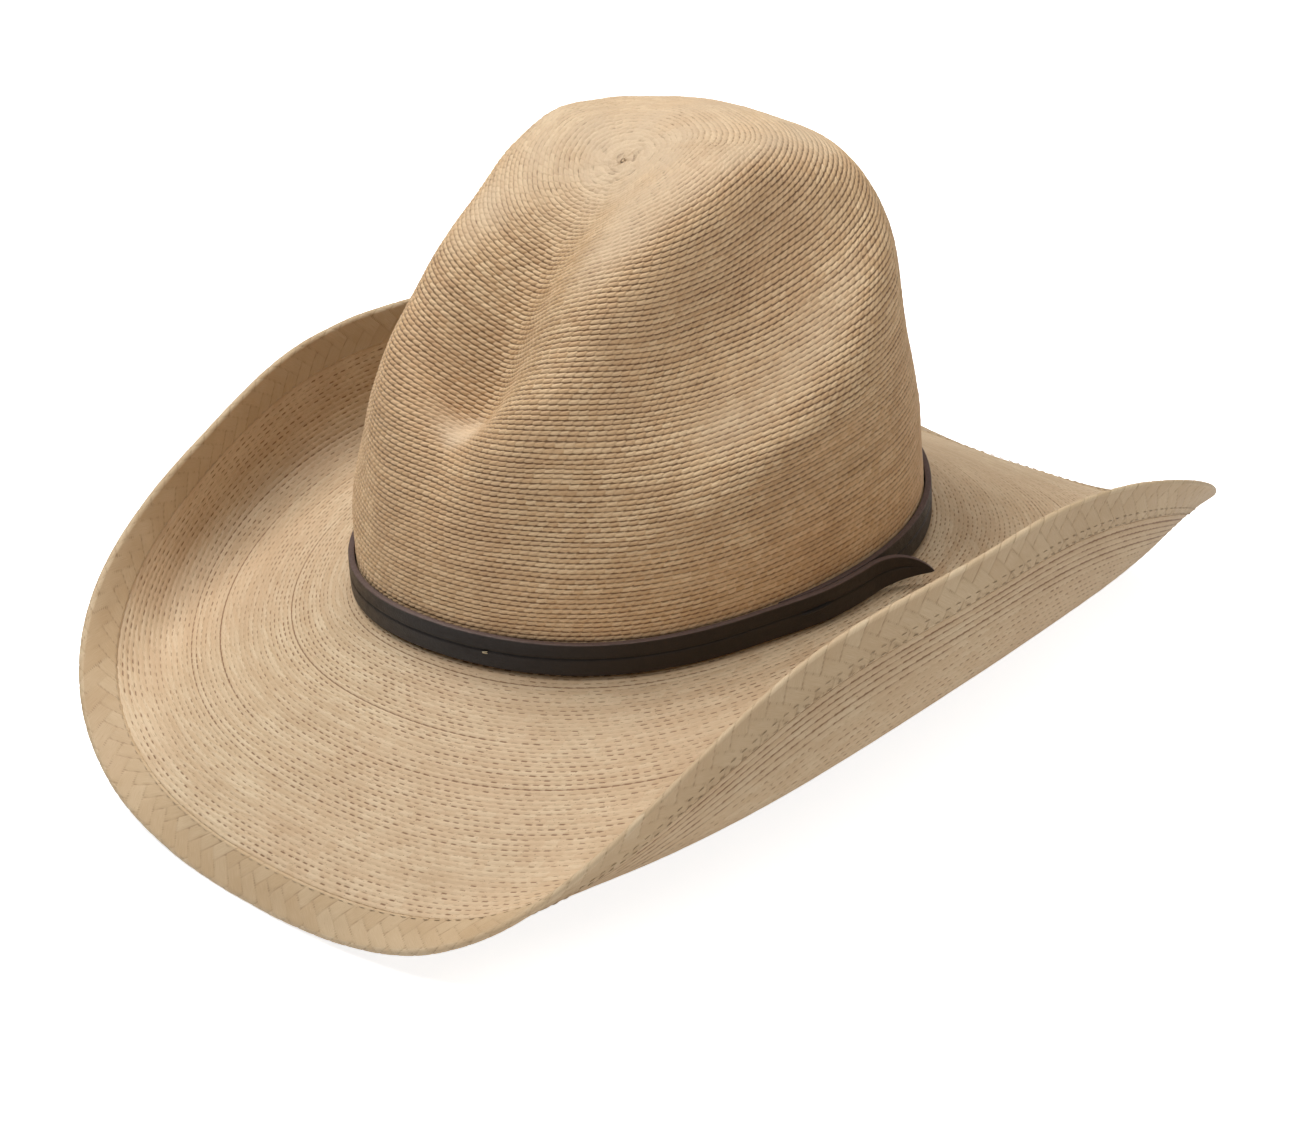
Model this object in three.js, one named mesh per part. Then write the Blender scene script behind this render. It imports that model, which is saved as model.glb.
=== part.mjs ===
// Straw cowboy hat: sewn palm braid crown and rolled brim, herringbone edge braid,
// leather sweatband with its reed and tape, and a leather hatband with a loose pointed tail.
//
// Millimetres, +Z up. The wearer's front is -Y and the wearer's left is +X.
// The shapes are worked out about the centre of the head opening (the "crown frame"),
// then lifted so the origin is the middle of the hat's footprint, on the surface it stands on.
// Angles round the hat start at the front and increase towards the wearer's left.

import * as THREE from 'three';

const DEG = Math.PI / 180;

// ---------------------------------------------------------------- shared dimensions
const HALF_LENGTH = 107.41;      // of the crown's outer face at its base
const HALF_WIDTH = 89.26;
const STRAW = 2.6;               // thickness of the sewn braid
const GAP = 0.3;                 // clearance between separate pieces
const AROUND = 80;               // facets round the hat
const CROWN_AROUND = 104;        // facets round the crown
const ORIGIN_SHIFT = [0, -6.8, 62.4];    // crown frame to the hat's own frame

// Rise and fall of the crown and brim join: cosines of 2 and 4 times the angle
const SADDLE = [0.92, 1.15];

// ---------------------------------------------------------------- small maths
const cosineSeries = (terms, angle) =>
  terms.reduce((sum, term, k) => sum + term * Math.cos(k * angle), 0);

const bell = u => Math.exp(-(u ** 2));

function smoothStep(value, start, end) {
  const u = Math.min(Math.max((value - start) / (end - start), 0), 1);
  return u * u * (3 - 2 * u);
}

// Catmull-Rom curve from p1 to p2
function spline(p0, p1, p2, p3, f) {
  const square = 2 * p0 - 5 * p1 + 4 * p2 - p3;
  const cube = -p0 + 3 * p1 - 3 * p2 + p3;
  return 0.5 * (2 * p1 + (-p0 + p2) * f + square * f * f + cube * f ** 3);
}

// ---------------------------------------------------------------- base line
const saddle = angle => SADDLE[0] * Math.cos(2 * angle) + SADDLE[1] * Math.cos(4 * angle);

// The crown's outer base ellipse, pushed out along its normal
function baseLine(angle, offset = 0) {
  const across = Math.sin(angle) / HALF_WIDTH;
  const along = -Math.cos(angle) / HALF_LENGTH;
  const length = Math.hypot(across, along);
  const nx = across / length;
  const ny = along / length;
  return {
    x: HALF_WIDTH * Math.sin(angle) + nx * offset,
    y: -HALF_LENGTH * Math.cos(angle) + ny * offset,
    nx,
    ny,
  };
}

function basePoint(angle, offset, z) {
  const base = baseLine(angle, offset);
  return new THREE.Vector3(base.x, base.y, z);
}

// ---------------------------------------------------------------- solids from sections
function solid(points, faces) {
  let volume = 0;
  for (let i = 0; i < faces.length; i += 3) {
    const [a, b, c] = faces.slice(i, i + 3).map(k => points[k]);
    volume += a.dot(b.clone().cross(c));
  }
  if (volume < 0) {              // turn the faces outward
    for (let i = 0; i < faces.length; i += 3) {
      [faces[i + 1], faces[i + 2]] = [faces[i + 2], faces[i + 1]];
    }
  }
  const geometry = new THREE.BufferGeometry();
  const positions = points.flatMap(p => p.toArray());
  geometry.setAttribute('position', new THREE.Float32BufferAttribute(positions, 3));
  geometry.setIndex(faces);
  geometry.computeVertexNormals();
  return geometry;
}

// Joins rows of equal length: either a closed ring, or an open sweep with flat caps
function skin(rows, closed) {
  const count = rows.length;
  const size = rows[0].length;
  const faces = [];
  for (let i = 0; i < (closed ? count : count - 1); i++) {
    const row = i * size;
    const next = ((i + 1) % count) * size;
    for (let j = 0; j < size; j++) {
      const k = (j + 1) % size;
      faces.push(row + j, row + k, next + k, row + j, next + k, next + j);
    }
  }
  if (!closed) {
    const end = (count - 1) * size;
    for (let j = 1; j < size - 1; j++) {
      faces.push(0, j + 1, j, end, end + j, end + j + 1);
    }
  }
  return solid(rows.flat(), faces);
}

function ringSolid(section) {
  const rows = [];
  for (let i = 0; i < AROUND; i++) rows.push(section(2 * Math.PI * i / AROUND));
  return skin(rows, true);
}

// section(f) is called with f from 0 to 1
function sweepSolid(steps, section) {
  const rows = [];
  for (let i = 0; i <= steps; i++) rows.push(section(i / steps));
  return skin(rows, false);
}

// A ring along the base line; the outline's columns are offset and height
const baseRing = outline =>
  ringSolid(angle => outline.map(([offset, z]) => basePoint(angle, offset, z)));

// Four corners of a section; place(offset, height) gives a point
const rectangle = (place, offsetA, offsetB, low, high) => [
  place(offsetA, low),
  place(offsetA, high),
  place(offsetB, high),
  place(offsetB, low),
];

// ---------------------------------------------------------------- crown surface
// Profile down the middle, every 20 mm along Y from -110 to +110
const TOP_START = -110;
const TOP_STEP = 20;
const TOP_HEIGHT = [
  78.58, 97.5, 103.94, 120.92, 135.56, 150.28, 159.15, 159.13, 153.66, 149.98, 145.15, 151.67,
];
const CREASE_DEPTH = [
  28.94, 22.43, 30.6, 22.95, 16.33, 16.5, 15.45, 11.51, 7.35, 9.12, 10.41, 0.75,
];
const CREASE_WIDTH = [
  28.19, 32.31, 21.38, 18.54, 19.8, 26.75, 30.99, 37.38, 34.83, 33.86, 32.84, 29.84,
];
const CREASE_POWER = 1.659;      // how sharply the crease's two sides meet the top

// Cosine series round the hat
const DOME_OUT_POWER = [5.831, 0.749, 1.108];    // the dome section's power on distance out
const DOME_UP_POWER = [1.843, -0.292, 0.333];    // and its power on height
const WALL_HEIGHT = [43.135, -7.372, -19.138];   // upright wall under the dome
const TAPER = [0.058, -0.036, 0.001];            // share drawn in at TAPER_HEIGHT
const TAPER_HEIGHT = 150;
const TAPER_POWER = 1.6;
const DOME_SHARE = 0.68;                         // share of the section given to the dome

// Hollow pressed into both sides of the crown
const DENT = {
  depth: 32.116,
  y: -19.799, frontReach: 45.278, backReach: 82.822,
  z: 108.866, slope: 0.418, tall: 31.037,        // slope is the centre's rise towards the back
  startX: 16.437, fullX: 66.746,                 // fades in between these distances out
  inward: 0.6, backward: 0.15, downward: 0.75,   // shares of the depth in each direction
};

// Hand shaping on top of that, mm outward: a row every 30 degrees from the front to the back
// (both sides alike), a column at each tenth of the section from 0.1 to 0.7; zero below that
const FORM_TIP = 1.675;
const FORM_ROW_ANGLE = 30 * DEG;
const FORM_LEAN_POWER = 1.5;     // how the push turns from upward at the tip to level
const FORM = [
  [2, 1.5, -0.5, -2.8, -0.8, 0, 0],
  [0.8, 2.4, 4.2, 4.5, 0, -2.5, 0],
  [-0.52, 0.43, 4.53, 3.79, 4.1, 0.68, 0],
  [-1.17, -2.04, -0.13, 0.16, 9.41, 5.98, 0],
  [-1.08, -4.14, 1.49, 8.38, 6.59, 1.53, 0],
  [1.1, -2.34, -0.89, 2.52, 1.89, -2.83, 0],
  [2.85, 1.85, 2.11, 1.74, -1.51, -0.92, 0],
];

const crownFoot = angle => saddle(angle) + STRAW / 2 + GAP;

// Smooth curve through a profile table, carried on straight past its ends
function profileAt(values, y) {
  const place = (y - TOP_START) / TOP_STEP;
  const i = Math.floor(place);
  const last = values.length - 1;
  const at = k => {
    if (k < 0) return 2 * values[0] - values[1];
    return k > last ? 2 * values[last] - values[last - 1] : values[k];
  };
  return spline(at(i - 1), at(i), at(i + 1), at(i + 2), place - i);
}

function formValue(row, column) {
  if (column <= 0) return FORM_TIP;
  if (column > FORM[0].length) return 0;
  const last = FORM.length - 1;
  const mirrored = row > last ? 2 * last - row : Math.abs(row);
  return FORM[mirrored][column - 1];
}

function formAt(angle, down) {
  const rowPlace = Math.abs(Math.atan2(Math.sin(angle), Math.cos(angle))) / FORM_ROW_ANGLE;
  const i = Math.min(Math.floor(rowPlace), FORM.length - 2);
  const j = Math.floor(down * 10);
  const alongRow = k => spline(
    formValue(k, j - 1), formValue(k, j), formValue(k, j + 1), formValue(k, j + 2),
    down * 10 - j,
  );
  return spline(alongRow(i - 1), alongRow(i), alongRow(i + 1), alongRow(i + 2), rowPlace - i);
}

// Height before taper, dents and hand shaping
function plainHeight(angle, down, radius, x, y) {
  const wall = cosineSeries(WALL_HEIGHT, angle);
  if (down > DOME_SHARE) {
    return wall + (crownFoot(angle) - wall) * (down - DOME_SHARE) / (1 - DOME_SHARE);
  }
  const outPower = cosineSeries(DOME_OUT_POWER, angle);
  const upPower = cosineSeries(DOME_UP_POWER, angle);
  const rise = Math.max(1 - radius ** outPower, 0) ** (1 / upPower);
  const sideways = Math.abs(x) / profileAt(CREASE_WIDTH, y);
  const crease = profileAt(CREASE_DEPTH, y) * Math.exp(-(sideways ** CREASE_POWER));
  return wall + (profileAt(TOP_HEIGHT, y) - crease - wall) * rise;
}

function dentDepth(x, y, z) {
  const fromY = y - DENT.y;
  const centreZ = DENT.z + DENT.slope * fromY;
  return DENT.depth
    * bell(fromY / (fromY < 0 ? DENT.frontReach : DENT.backReach))
    * bell((z - centreZ) / DENT.tall)
    * smoothStep(Math.abs(x), DENT.startX, DENT.fullX);
}

// Outer surface; down runs from 0 at the tip to 1 at the foot
function crownPoint(angle, down) {
  const domePart = Math.min(down / DOME_SHARE, 1);
  const radius = Math.sin(domePart * Math.PI / 2);
  const wideX = HALF_WIDTH * radius * Math.sin(angle);
  const wideY = -HALF_LENGTH * radius * Math.cos(angle);
  const z = plainHeight(angle, down, radius, wideX, wideY);
  const drawIn = 1 - cosineSeries(TAPER, angle) * (z / TAPER_HEIGHT) ** TAPER_POWER;
  const x = wideX * drawIn;
  const y = wideY * drawIn;
  const dent = dentDepth(x, y, z);
  const push = formAt(angle, down);
  const lean = Math.PI / 2 * domePart ** FORM_LEAN_POWER;
  const level = push * Math.sin(lean);
  return new THREE.Vector3(
    x - Math.sign(x) * DENT.inward * dent + level * Math.sin(angle),
    y + DENT.backward * dent - level * Math.cos(angle),
    z - DENT.downward * dent + push * Math.cos(lean),
  );
}

// The same surface, one braid thickness inside
function crownInner(angle, down) {
  const step = 0.004;
  const around = crownPoint(angle + step, down).sub(crownPoint(angle - step, down));
  const downward = crownPoint(angle, Math.min(down + step, 1)).sub(crownPoint(angle, down - step));
  const inward = around.cross(downward).normalize();
  if (inward.z > 0 && down < 0.5) inward.negate();
  if (down >= DOME_SHARE) {
    const base = baseLine(angle);
    if (inward.x * base.nx + inward.y * base.ny > 0) inward.negate();
  }
  return crownPoint(angle, down).addScaledVector(inward, STRAW);
}

// Levels of the crown mesh: down the outside, then up the inside from the foot
const OUTER_LEVELS = [
  0.03, 0.06, 0.09, 0.12, 0.15, 0.18, 0.21, 0.24, 0.27, 0.3, 0.33, 0.36, 0.39,
  0.42, 0.45, 0.48, 0.51, 0.54, 0.57, 0.6, 0.64, 0.68, 0.73, 0.8, 0.9, 1,
];
const INNER_LEVELS = [
  0.9, 0.8, 0.73, 0.67, 0.62, 0.57, 0.52, 0.47, 0.42, 0.37, 0.32, 0.27, 0.22, 0.17, 0.12, 0.06,
];

function crownShell() {
  const points = [];
  const faces = [];
  for (let i = 0; i < CROWN_AROUND; i++) {
    const angle = 2 * Math.PI * i / CROWN_AROUND;
    points.push(
      ...OUTER_LEVELS.map(down => crownPoint(angle, down)),
      basePoint(angle, -STRAW, crownFoot(angle)),
      ...INNER_LEVELS.map(down => crownInner(angle, down)),
    );
  }
  const outerTip = points.length;
  const size = outerTip / CROWN_AROUND;
  const tip = crownPoint(0, 0);
  points.push(tip, new THREE.Vector3(tip.x, tip.y, tip.z - STRAW));
  for (let i = 0; i < CROWN_AROUND; i++) {
    const a = i * size;
    const b = ((i + 1) % CROWN_AROUND) * size;
    for (let j = 0; j < size - 1; j++) {
      faces.push(a + j, b + j + 1, a + j + 1, a + j, b + j, b + j + 1);
    }
    faces.push(outerTip, b, a, outerTip + 1, a + size - 1, b + size - 1);
  }
  return solid(points, faces);
}

// ---------------------------------------------------------------- brim and its edge braid
// Cosine series round the hat; slopes in degrees
const BRIM = {
  width: [108.58, 0.32, -3.47, -1.46, -2.71],    // along the surface
  innerSlope: [-18.47, -6.41, -12.07, 0.89, -0.87],
  edgeSlope: [40.70, -5.12, -71.97, -6.33, -18.70, -0.64, 4.03, 1.79],
  rollPlace: [0.716, 0.0205, 0.1307, 0.0081],    // share of the width where the roll sits
  tightness: [2.992, 0.24, -0.0466],             // log of how tight the roll is
};
// Difference between left and right, as sines of the angle and of twice the angle, degrees
const SKEW = { inner: 1.64 + 0.17, edge: 1.64, edgeTwice: 2.96 };
const BRIM_STEPS = 120;          // steps in following the slope outward
const BRIM_ROWS = 14;            // mesh rows across the brim
const BRIM_FIRST = 0.012;        // share of the width where the top's first row lies
const EDGE_BRAID_WIDTH = 14;
const EDGE_BRAID_THICK = 3.2;
const BRAID_GAP = 0.7;           // along the surface, between the brim and the edge braid
// Upper half of the edge braid's section: share of its width, share of its half thickness
const EDGE_PROFILE = [[0, 1], [0.5, 1], [0.93, 1], [1, 0.35]];

// The brim's middle surface along one spoke; point(share, above) is offset from that surface
function brimSpoke(angle) {
  const width = cosineSeries(BRIM.width, angle);
  const innerSkew = SKEW.inner * Math.sin(angle);
  const edgeSkew = SKEW.edge * Math.sin(angle) + SKEW.edgeTwice * Math.sin(2 * angle);
  const inner = (cosineSeries(BRIM.innerSlope, angle) + innerSkew) * DEG;
  const edge = (cosineSeries(BRIM.edgeSlope, angle) + edgeSkew) * DEG;
  const centre = cosineSeries(BRIM.rollPlace, angle);
  const tightness = Math.exp(cosineSeries(BRIM.tightness, angle));
  const roll = share => 1 / (1 + Math.exp(-(share - centre) * tightness));
  const slopeAt = share =>
    inner + (edge - inner) * (roll(share) - roll(0)) / (roll(1) - roll(0));

  let reach = 0;
  let z = saddle(angle);
  const stations = [{ reach, z, slope: slopeAt(0) }];
  for (let i = 1; i <= BRIM_STEPS; i++) {
    const middle = slopeAt((i - 0.5) / BRIM_STEPS);
    reach += Math.cos(middle) * width / BRIM_STEPS;
    z += Math.sin(middle) * width / BRIM_STEPS;
    stations.push({ reach, z, slope: slopeAt(i / BRIM_STEPS) });
  }

  function point(share, above) {
    const place = share * BRIM_STEPS;
    const i = Math.min(Math.floor(place), BRIM_STEPS - 1);
    const from = stations[i];
    const to = stations[i + 1];
    const mix = key => from[key] + (to[key] - from[key]) * (place - i);
    const slope = mix('slope');
    const offset = mix('reach') - Math.sin(slope) * above;
    return basePoint(angle, offset, mix('z') + Math.cos(slope) * above);
  }
  return { width, point };
}

function brimSection(angle) {
  const { width, point } = brimSpoke(angle);
  const end = 1 - (EDGE_BRAID_WIDTH + BRAID_GAP / 2) / width;
  const half = STRAW / 2;
  const top = [basePoint(angle, -STRAW, saddle(angle) + half), point(BRIM_FIRST, half)];
  const bottom = [basePoint(angle, -STRAW, saddle(angle) - half)];
  for (let i = 1; i <= BRIM_ROWS; i++) {
    top.push(point(end * i / BRIM_ROWS, half));
    bottom.push(point(end * i / BRIM_ROWS, -half));
  }
  return [...top, ...bottom.reverse()];
}

function edgeBraidSection(angle) {
  const { width, point } = brimSpoke(angle);
  const start = 1 - (EDGE_BRAID_WIDTH - BRAID_GAP / 2) / width;
  const side = sign => EDGE_PROFILE.map(([across, height]) =>
    point(start + (1 - start) * across, sign * height * EDGE_BRAID_THICK / 2));
  return [...side(1), ...side(-1).reverse()];
}

// ---------------------------------------------------------------- sweatband group
// out, in: offsets from the crown's outer face
const SWEAT = { out: -4.0, in: -5.2, low: -0.9, middle: 18, high: 36 };
const SWEAT_JOINT = { halfGap: 0.35, radius: HALF_WIDTH - 5 };   // at the centre back
const TAPE = { out: -2.9, in: -6.9, wall: 0.6, low: -4.5, outerHigh: 5, innerHigh: 3 };
const REED = { middle: -4.9, radius: 1.0, z: -2.55, sides: 6 };
const STITCHING = [[-7.2, 0.9], [-7.2, 1.7], [-7.8, 1.5], [-7.8, 1.1]];  // offset, height
// Patches on the sweatband's inner face; angles in radians
const SEAM_PATCH = {
  angle: Math.PI, halfAngle: 7 / 77, steps: 6, out: -5.5, in: -6.1, low: 4, high: 33,
};
const SIZE_TAG = {
  angle: 210 * DEG, halfAngle: 6 * DEG, steps: 4, out: -5.5, in: -5.9, low: 12, high: 24,
};
const BOW = { thick: 1.6, inset: 7.9, z: 10.5 };
// Left half of the bow's outline from its knot: x, height
const BOW_HALF = [
  [1.6, 1.5], [4.5, 2.5], [9.5, 3.9], [11.2, 3.0],
  [11.2, -3.0], [9.5, -3.9], [4.5, -2.5], [1.6, -1.5],
];

// A point at height z, offset level from the crown's outer face
function wallPoint(angle, offset, z) {
  if (z <= crownFoot(angle)) return basePoint(angle, offset, z);
  let above = 0.45;
  let below = 1;
  for (let i = 0; i < 30; i++) {
    const middle = (above + below) / 2;
    if (crownPoint(angle, middle).z > z) above = middle;
    else below = middle;
  }
  const wall = crownPoint(angle, below);
  const { nx, ny } = baseLine(angle);
  return new THREE.Vector3(wall.x + nx * offset, wall.y + ny * offset, z);
}

// U-shaped channel, open at the top
function reedTape() {
  const { out, in: inner, wall, low, outerHigh, innerHigh } = TAPE;
  return baseRing([
    [out, low], [out, outerHigh], [out - wall, outerHigh], [out - wall, low + wall],
    [inner + wall, low + wall], [inner + wall, innerHigh], [inner, innerHigh], [inner, low],
  ]);
}

function reed() {
  const outline = [];
  for (let k = 0; k < REED.sides; k++) {
    const turn = k / REED.sides * 2 * Math.PI;
    const offset = REED.middle + REED.radius * Math.cos(turn);
    outline.push([offset, REED.z + REED.radius * Math.sin(turn)]);
  }
  return baseRing(outline);
}

// The leather strip's two ends meet at the centre back
function sweatband() {
  const trim = SWEAT_JOINT.halfGap / SWEAT_JOINT.radius;
  const { low, middle, high } = SWEAT;
  return sweepSolid(AROUND, f => {
    const turn = Math.min(Math.max(2 * Math.PI * f, trim), 2 * Math.PI - trim);
    const side = (offset, heights) => heights.map(z => wallPoint(Math.PI + turn, offset, z));
    return [...side(SWEAT.out, [low, middle, high]), ...side(SWEAT.in, [high, middle, low])];
  });
}

function wallPatch(patch) {
  return sweepSolid(patch.steps, f => {
    const angle = patch.angle + (2 * f - 1) * patch.halfAngle;
    const place = (offset, z) => wallPoint(angle, offset, z);
    return rectangle(place, patch.out, patch.in, patch.low, patch.high);
  });
}

// Two loops and a knot in one ribbon
function bow() {
  const mirrored = [...BOW_HALF].reverse().map(([x, z]) => [-x, z]);
  const outline = [...BOW_HALF, ...mirrored].map(([x, z]) => new THREE.Vector2(x, z));
  const shape = new THREE.Shape(outline);
  const geometry = new THREE.ExtrudeGeometry(shape, { depth: BOW.thick, bevelEnabled: false });
  geometry.rotateX(Math.PI / 2);
  geometry.translate(0, HALF_LENGTH - BOW.inset, BOW.z);
  geometry.deleteAttribute('uv');
  geometry.deleteAttribute('normal');
  return geometry;
}

// ---------------------------------------------------------------- hatband
// Heights from the saddle line; angles in degrees round the hat
const STRAP = { gap: 0.5, thick: 2.2, low: 2.0, high: 13.8, start: 93, steps: 84 };
const LAP = { from: 72, to: 90, rise: STRAP.thick + GAP };   // where it climbs over its start
const LAPPED = STRAP.gap + LAP.rise;                         // offset of the lapped end
const TAIL = {
  root: 98, length: 25, steps: 14,
  curve: 0.0358,                                 // radians of curl per mm
  topDrop: 7.6, topPower: 3.2, topSlope: 1.2,    // fall of the top edge at the tip
  bottomRise: 2.2, bottomPower: 1.2,             // rise of the bottom edge at the tip
  thinSteps: 2, thinning: 0.25,                  // share of thickness lost per end step
};
// Rounded root of the tail: distance along it, half thickness
const TAIL_ROOT = [[-1.1, 0.15], [-1.0, 0.46], [-0.75, 0.8], [-0.4, 1.02]];
const TACK = { angle: 20 * DEG, size: [1.8, 0.5, 0.7], height: 7.8, standOff: 0.28 };

// One strap: it starts under the lap, goes right round, and ends over its own start
function strap() {
  return sweepSolid(STRAP.steps, f => {
    const degrees = STRAP.start + (360 + TAIL.root - STRAP.start) * f;
    const angle = degrees * DEG;
    const offset = STRAP.gap + LAP.rise * smoothStep(degrees - 360, LAP.from, LAP.to);
    const place = (out, height) => basePoint(angle, out, saddle(angle) + height);
    return rectangle(place, offset, offset + STRAP.thick, STRAP.low, STRAP.high);
  });
}

// The strap's free end: curls away from the crown and narrows to a point
function tail() {
  const half = STRAP.thick / 2;
  const angle = TAIL.root * DEG;
  const root = baseLine(angle, LAPPED + half);
  const along = new THREE.Vector3(-root.ny, root.nx, 0);
  const outward = new THREE.Vector3(root.nx, root.ny, 0);
  const start = new THREE.Vector3(root.x, root.y, saddle(angle))
    .addScaledVector(along, half + GAP);

  function station(distance, halfThick) {
    const curled = Math.max(distance, 0);
    const turn = TAIL.curve * curled;
    const forward = distance < 0 ? distance : Math.sin(turn) / TAIL.curve;
    const centre = start.clone()
      .addScaledVector(along, forward)
      .addScaledVector(outward, (1 - Math.cos(turn)) / TAIL.curve);
    const normal = outward.clone()
      .multiplyScalar(Math.cos(turn))
      .addScaledVector(along, -Math.sin(turn));
    const f = curled / TAIL.length;
    const high = STRAP.high - TAIL.topDrop * f ** TAIL.topPower - TAIL.topSlope * f;
    const low = STRAP.low + TAIL.bottomRise * f ** TAIL.bottomPower;
    const place = (offset, height) => {
      const point = centre.clone().addScaledVector(normal, offset);
      point.z += height;
      return point;
    };
    return rectangle(place, -halfThick, halfThick, low, high);
  }

  const rows = TAIL_ROOT.map(([distance, halfThick]) => station(distance, halfThick));
  for (let i = 0; i <= TAIL.steps; i++) {
    const thinned = Math.max(i - (TAIL.steps - TAIL.thinSteps), 0);
    rows.push(station(TAIL.length * i / TAIL.steps, half * (1 - TAIL.thinning * thinned)));
  }
  return skin(rows, false);
}

// ---------------------------------------------------------------- the hat
const hat = new THREE.Group();
hat.position.set(...ORIGIN_SHIFT);

function add(name, geometry, { color, roughness }) {
  const mesh = new THREE.Mesh(geometry, new THREE.MeshStandardMaterial({ color, roughness }));
  mesh.name = name;
  hat.add(mesh);
  return mesh;
}

add('crown_shell', crownShell(), { color: 0xc9a77c, roughness: 0.72 });
add('brim', ringSolid(brimSection), { color: 0xcdab7f, roughness: 0.75 });
add('brim_edge_braid', ringSolid(edgeBraidSection), { color: 0xd8bd90, roughness: 0.7 });

add('reed_tape', reedTape(), { color: 0x3a2c22, roughness: 0.8 });
add('sweatband_reed', reed(), { color: 0xe6e2d6, roughness: 0.4 });
add('sweatband', sweatband(), { color: 0x6b4a31, roughness: 0.6 });
// strip sewn over the sweatband's joint, inside
add('sweatband_seam_patch', wallPatch(SEAM_PATCH), { color: 0x5c3d27, roughness: 0.6 });
// small ribbon bow that marks the centre back
add('sweatband_bow', bow(), { color: 0x4a3426, roughness: 0.5 });
add('sweatband_stitching', baseRing(STITCHING), { color: 0xd9c7a3, roughness: 0.7 });
// blank tag, on the wearer's right of the centre back
add('size_tag', wallPatch(SIZE_TAG), { color: 0xe9e4d8, roughness: 0.6 });

const HATBAND_LEATHER = { color: 0x2a1f19, roughness: 0.45 };
add('hatband_strap', strap(), HATBAND_LEATHER);
add('hatband_tail', tail(), HATBAND_LEATHER);

// thread tack on the face of the strap, on the wearer's left of the front
const tack = add('hatband_tack', new THREE.BoxGeometry(...TACK.size),
  { color: 0x8a7a66, roughness: 0.6 });
const tackBase = baseLine(TACK.angle, LAPPED + TACK.standOff);
tack.rotation.z = Math.atan2(tackBase.nx, -tackBase.ny);
tack.position.set(tackBase.x, tackBase.y, saddle(TACK.angle) + TACK.height);

export default hat;
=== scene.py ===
import math
from types import SimpleNamespace

import bpy
import numpy as np
from mathutils import Matrix, Vector


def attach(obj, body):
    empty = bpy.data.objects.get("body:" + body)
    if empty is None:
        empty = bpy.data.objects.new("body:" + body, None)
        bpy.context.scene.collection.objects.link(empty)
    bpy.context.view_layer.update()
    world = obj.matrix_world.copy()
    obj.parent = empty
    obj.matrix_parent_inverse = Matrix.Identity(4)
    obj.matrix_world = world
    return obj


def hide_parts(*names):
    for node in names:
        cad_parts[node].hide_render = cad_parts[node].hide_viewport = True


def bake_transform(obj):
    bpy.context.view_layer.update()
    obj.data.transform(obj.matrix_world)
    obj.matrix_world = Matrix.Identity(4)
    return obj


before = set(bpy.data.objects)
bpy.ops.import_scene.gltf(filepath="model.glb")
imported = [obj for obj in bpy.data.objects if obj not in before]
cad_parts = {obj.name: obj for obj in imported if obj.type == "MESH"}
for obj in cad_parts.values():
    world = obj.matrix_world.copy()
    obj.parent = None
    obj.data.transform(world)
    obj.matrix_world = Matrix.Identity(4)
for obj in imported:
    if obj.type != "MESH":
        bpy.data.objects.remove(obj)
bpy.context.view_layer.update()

RES = 1.0            # share of the full mesh density
PI2 = 2 * math.pi
scene = bpy.context.scene

# ------------------------------------------------------------------ the hat's shape (mm, degrees)
# Lists marked "cosines" are weights of cos(0), cos(angle), cos(2 angle)... round the hat.
SHIFT = np.array([0.0, -6.8, 62.4])    # the hat frame's origin in the product's frame
CROWN_A, CROWN_B = 107.41, 89.26       # half sizes of the crown's foot along Y and X
STRAW = 2.6                            # thickness of the sewn braid

# The crown's top, at stations TOP_DY apart along Y from TOP_Y0.
TOP_Y0, TOP_DY = -110.0, 20.0
TOP_H = [78.58, 97.5, 103.94, 120.92, 135.56, 150.28, 159.15, 159.13, 153.66, 149.98, 145.15, 151.67]
CREASE_DEPTH = [28.94, 22.43, 30.6, 22.95, 16.33, 16.5, 15.45, 11.51, 7.35, 9.12, 10.41, 0.75]
CREASE_WIDTH = [28.19, 32.31, 21.38, 18.54, 19.8, 26.75, 30.99, 37.38, 34.83, 33.86, 32.84, 29.84]
CREASE_POWER = 1.659

DOME_N = [5.831, 0.749, 1.108]         # cosines: inner power of the dome's profile
DOME_M = [1.843, -0.292, 0.333]        # cosines: outer power of the dome's profile
WALL_H = [43.135, -7.372, -19.138]     # cosines: height where the dome meets the wall
WALL_T = 0.68                          # share of the way from tip to foot where they meet
TAPER = [0.058, -0.036, 0.001]         # cosines: how far the crown narrows upwards
TAPER_POWER = 1.6

# The pair of side dents: reach towards -Y and +Y, height, slope along Y, start and end in |x|.
DENT = SimpleNamespace(depth=32.116, y=-19.799, minus_y=45.278, plus_y=82.822, z=108.866,
                       slope=0.418, tall=31.037, x0=16.437, x1=66.746)

# Swelling of the crown. Rows: every 30 degrees from -Y to +Y, the same on both sides.
# Columns: every tenth of the way from tip to foot; the tip has one value, the last three none.
FORM = np.zeros((7, 11))
FORM[:, 0] = 1.675
FORM[:, 1:7] = [
    [2.0, 1.5, -0.5, -2.8, -0.8, 0.0],
    [0.8, 2.4, 4.2, 4.5, 0.0, -2.5],
    [-0.52, 0.43, 4.53, 3.79, 4.1, 0.68],
    [-1.17, -2.04, -0.13, 0.16, 9.41, 5.98],
    [-1.08, -4.14, 1.49, 8.38, 6.59, 1.53],
    [1.1, -2.34, -0.89, 2.52, 1.89, -2.83],
    [2.85, 1.85, 2.11, 1.74, -1.51, -0.92],
]

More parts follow.
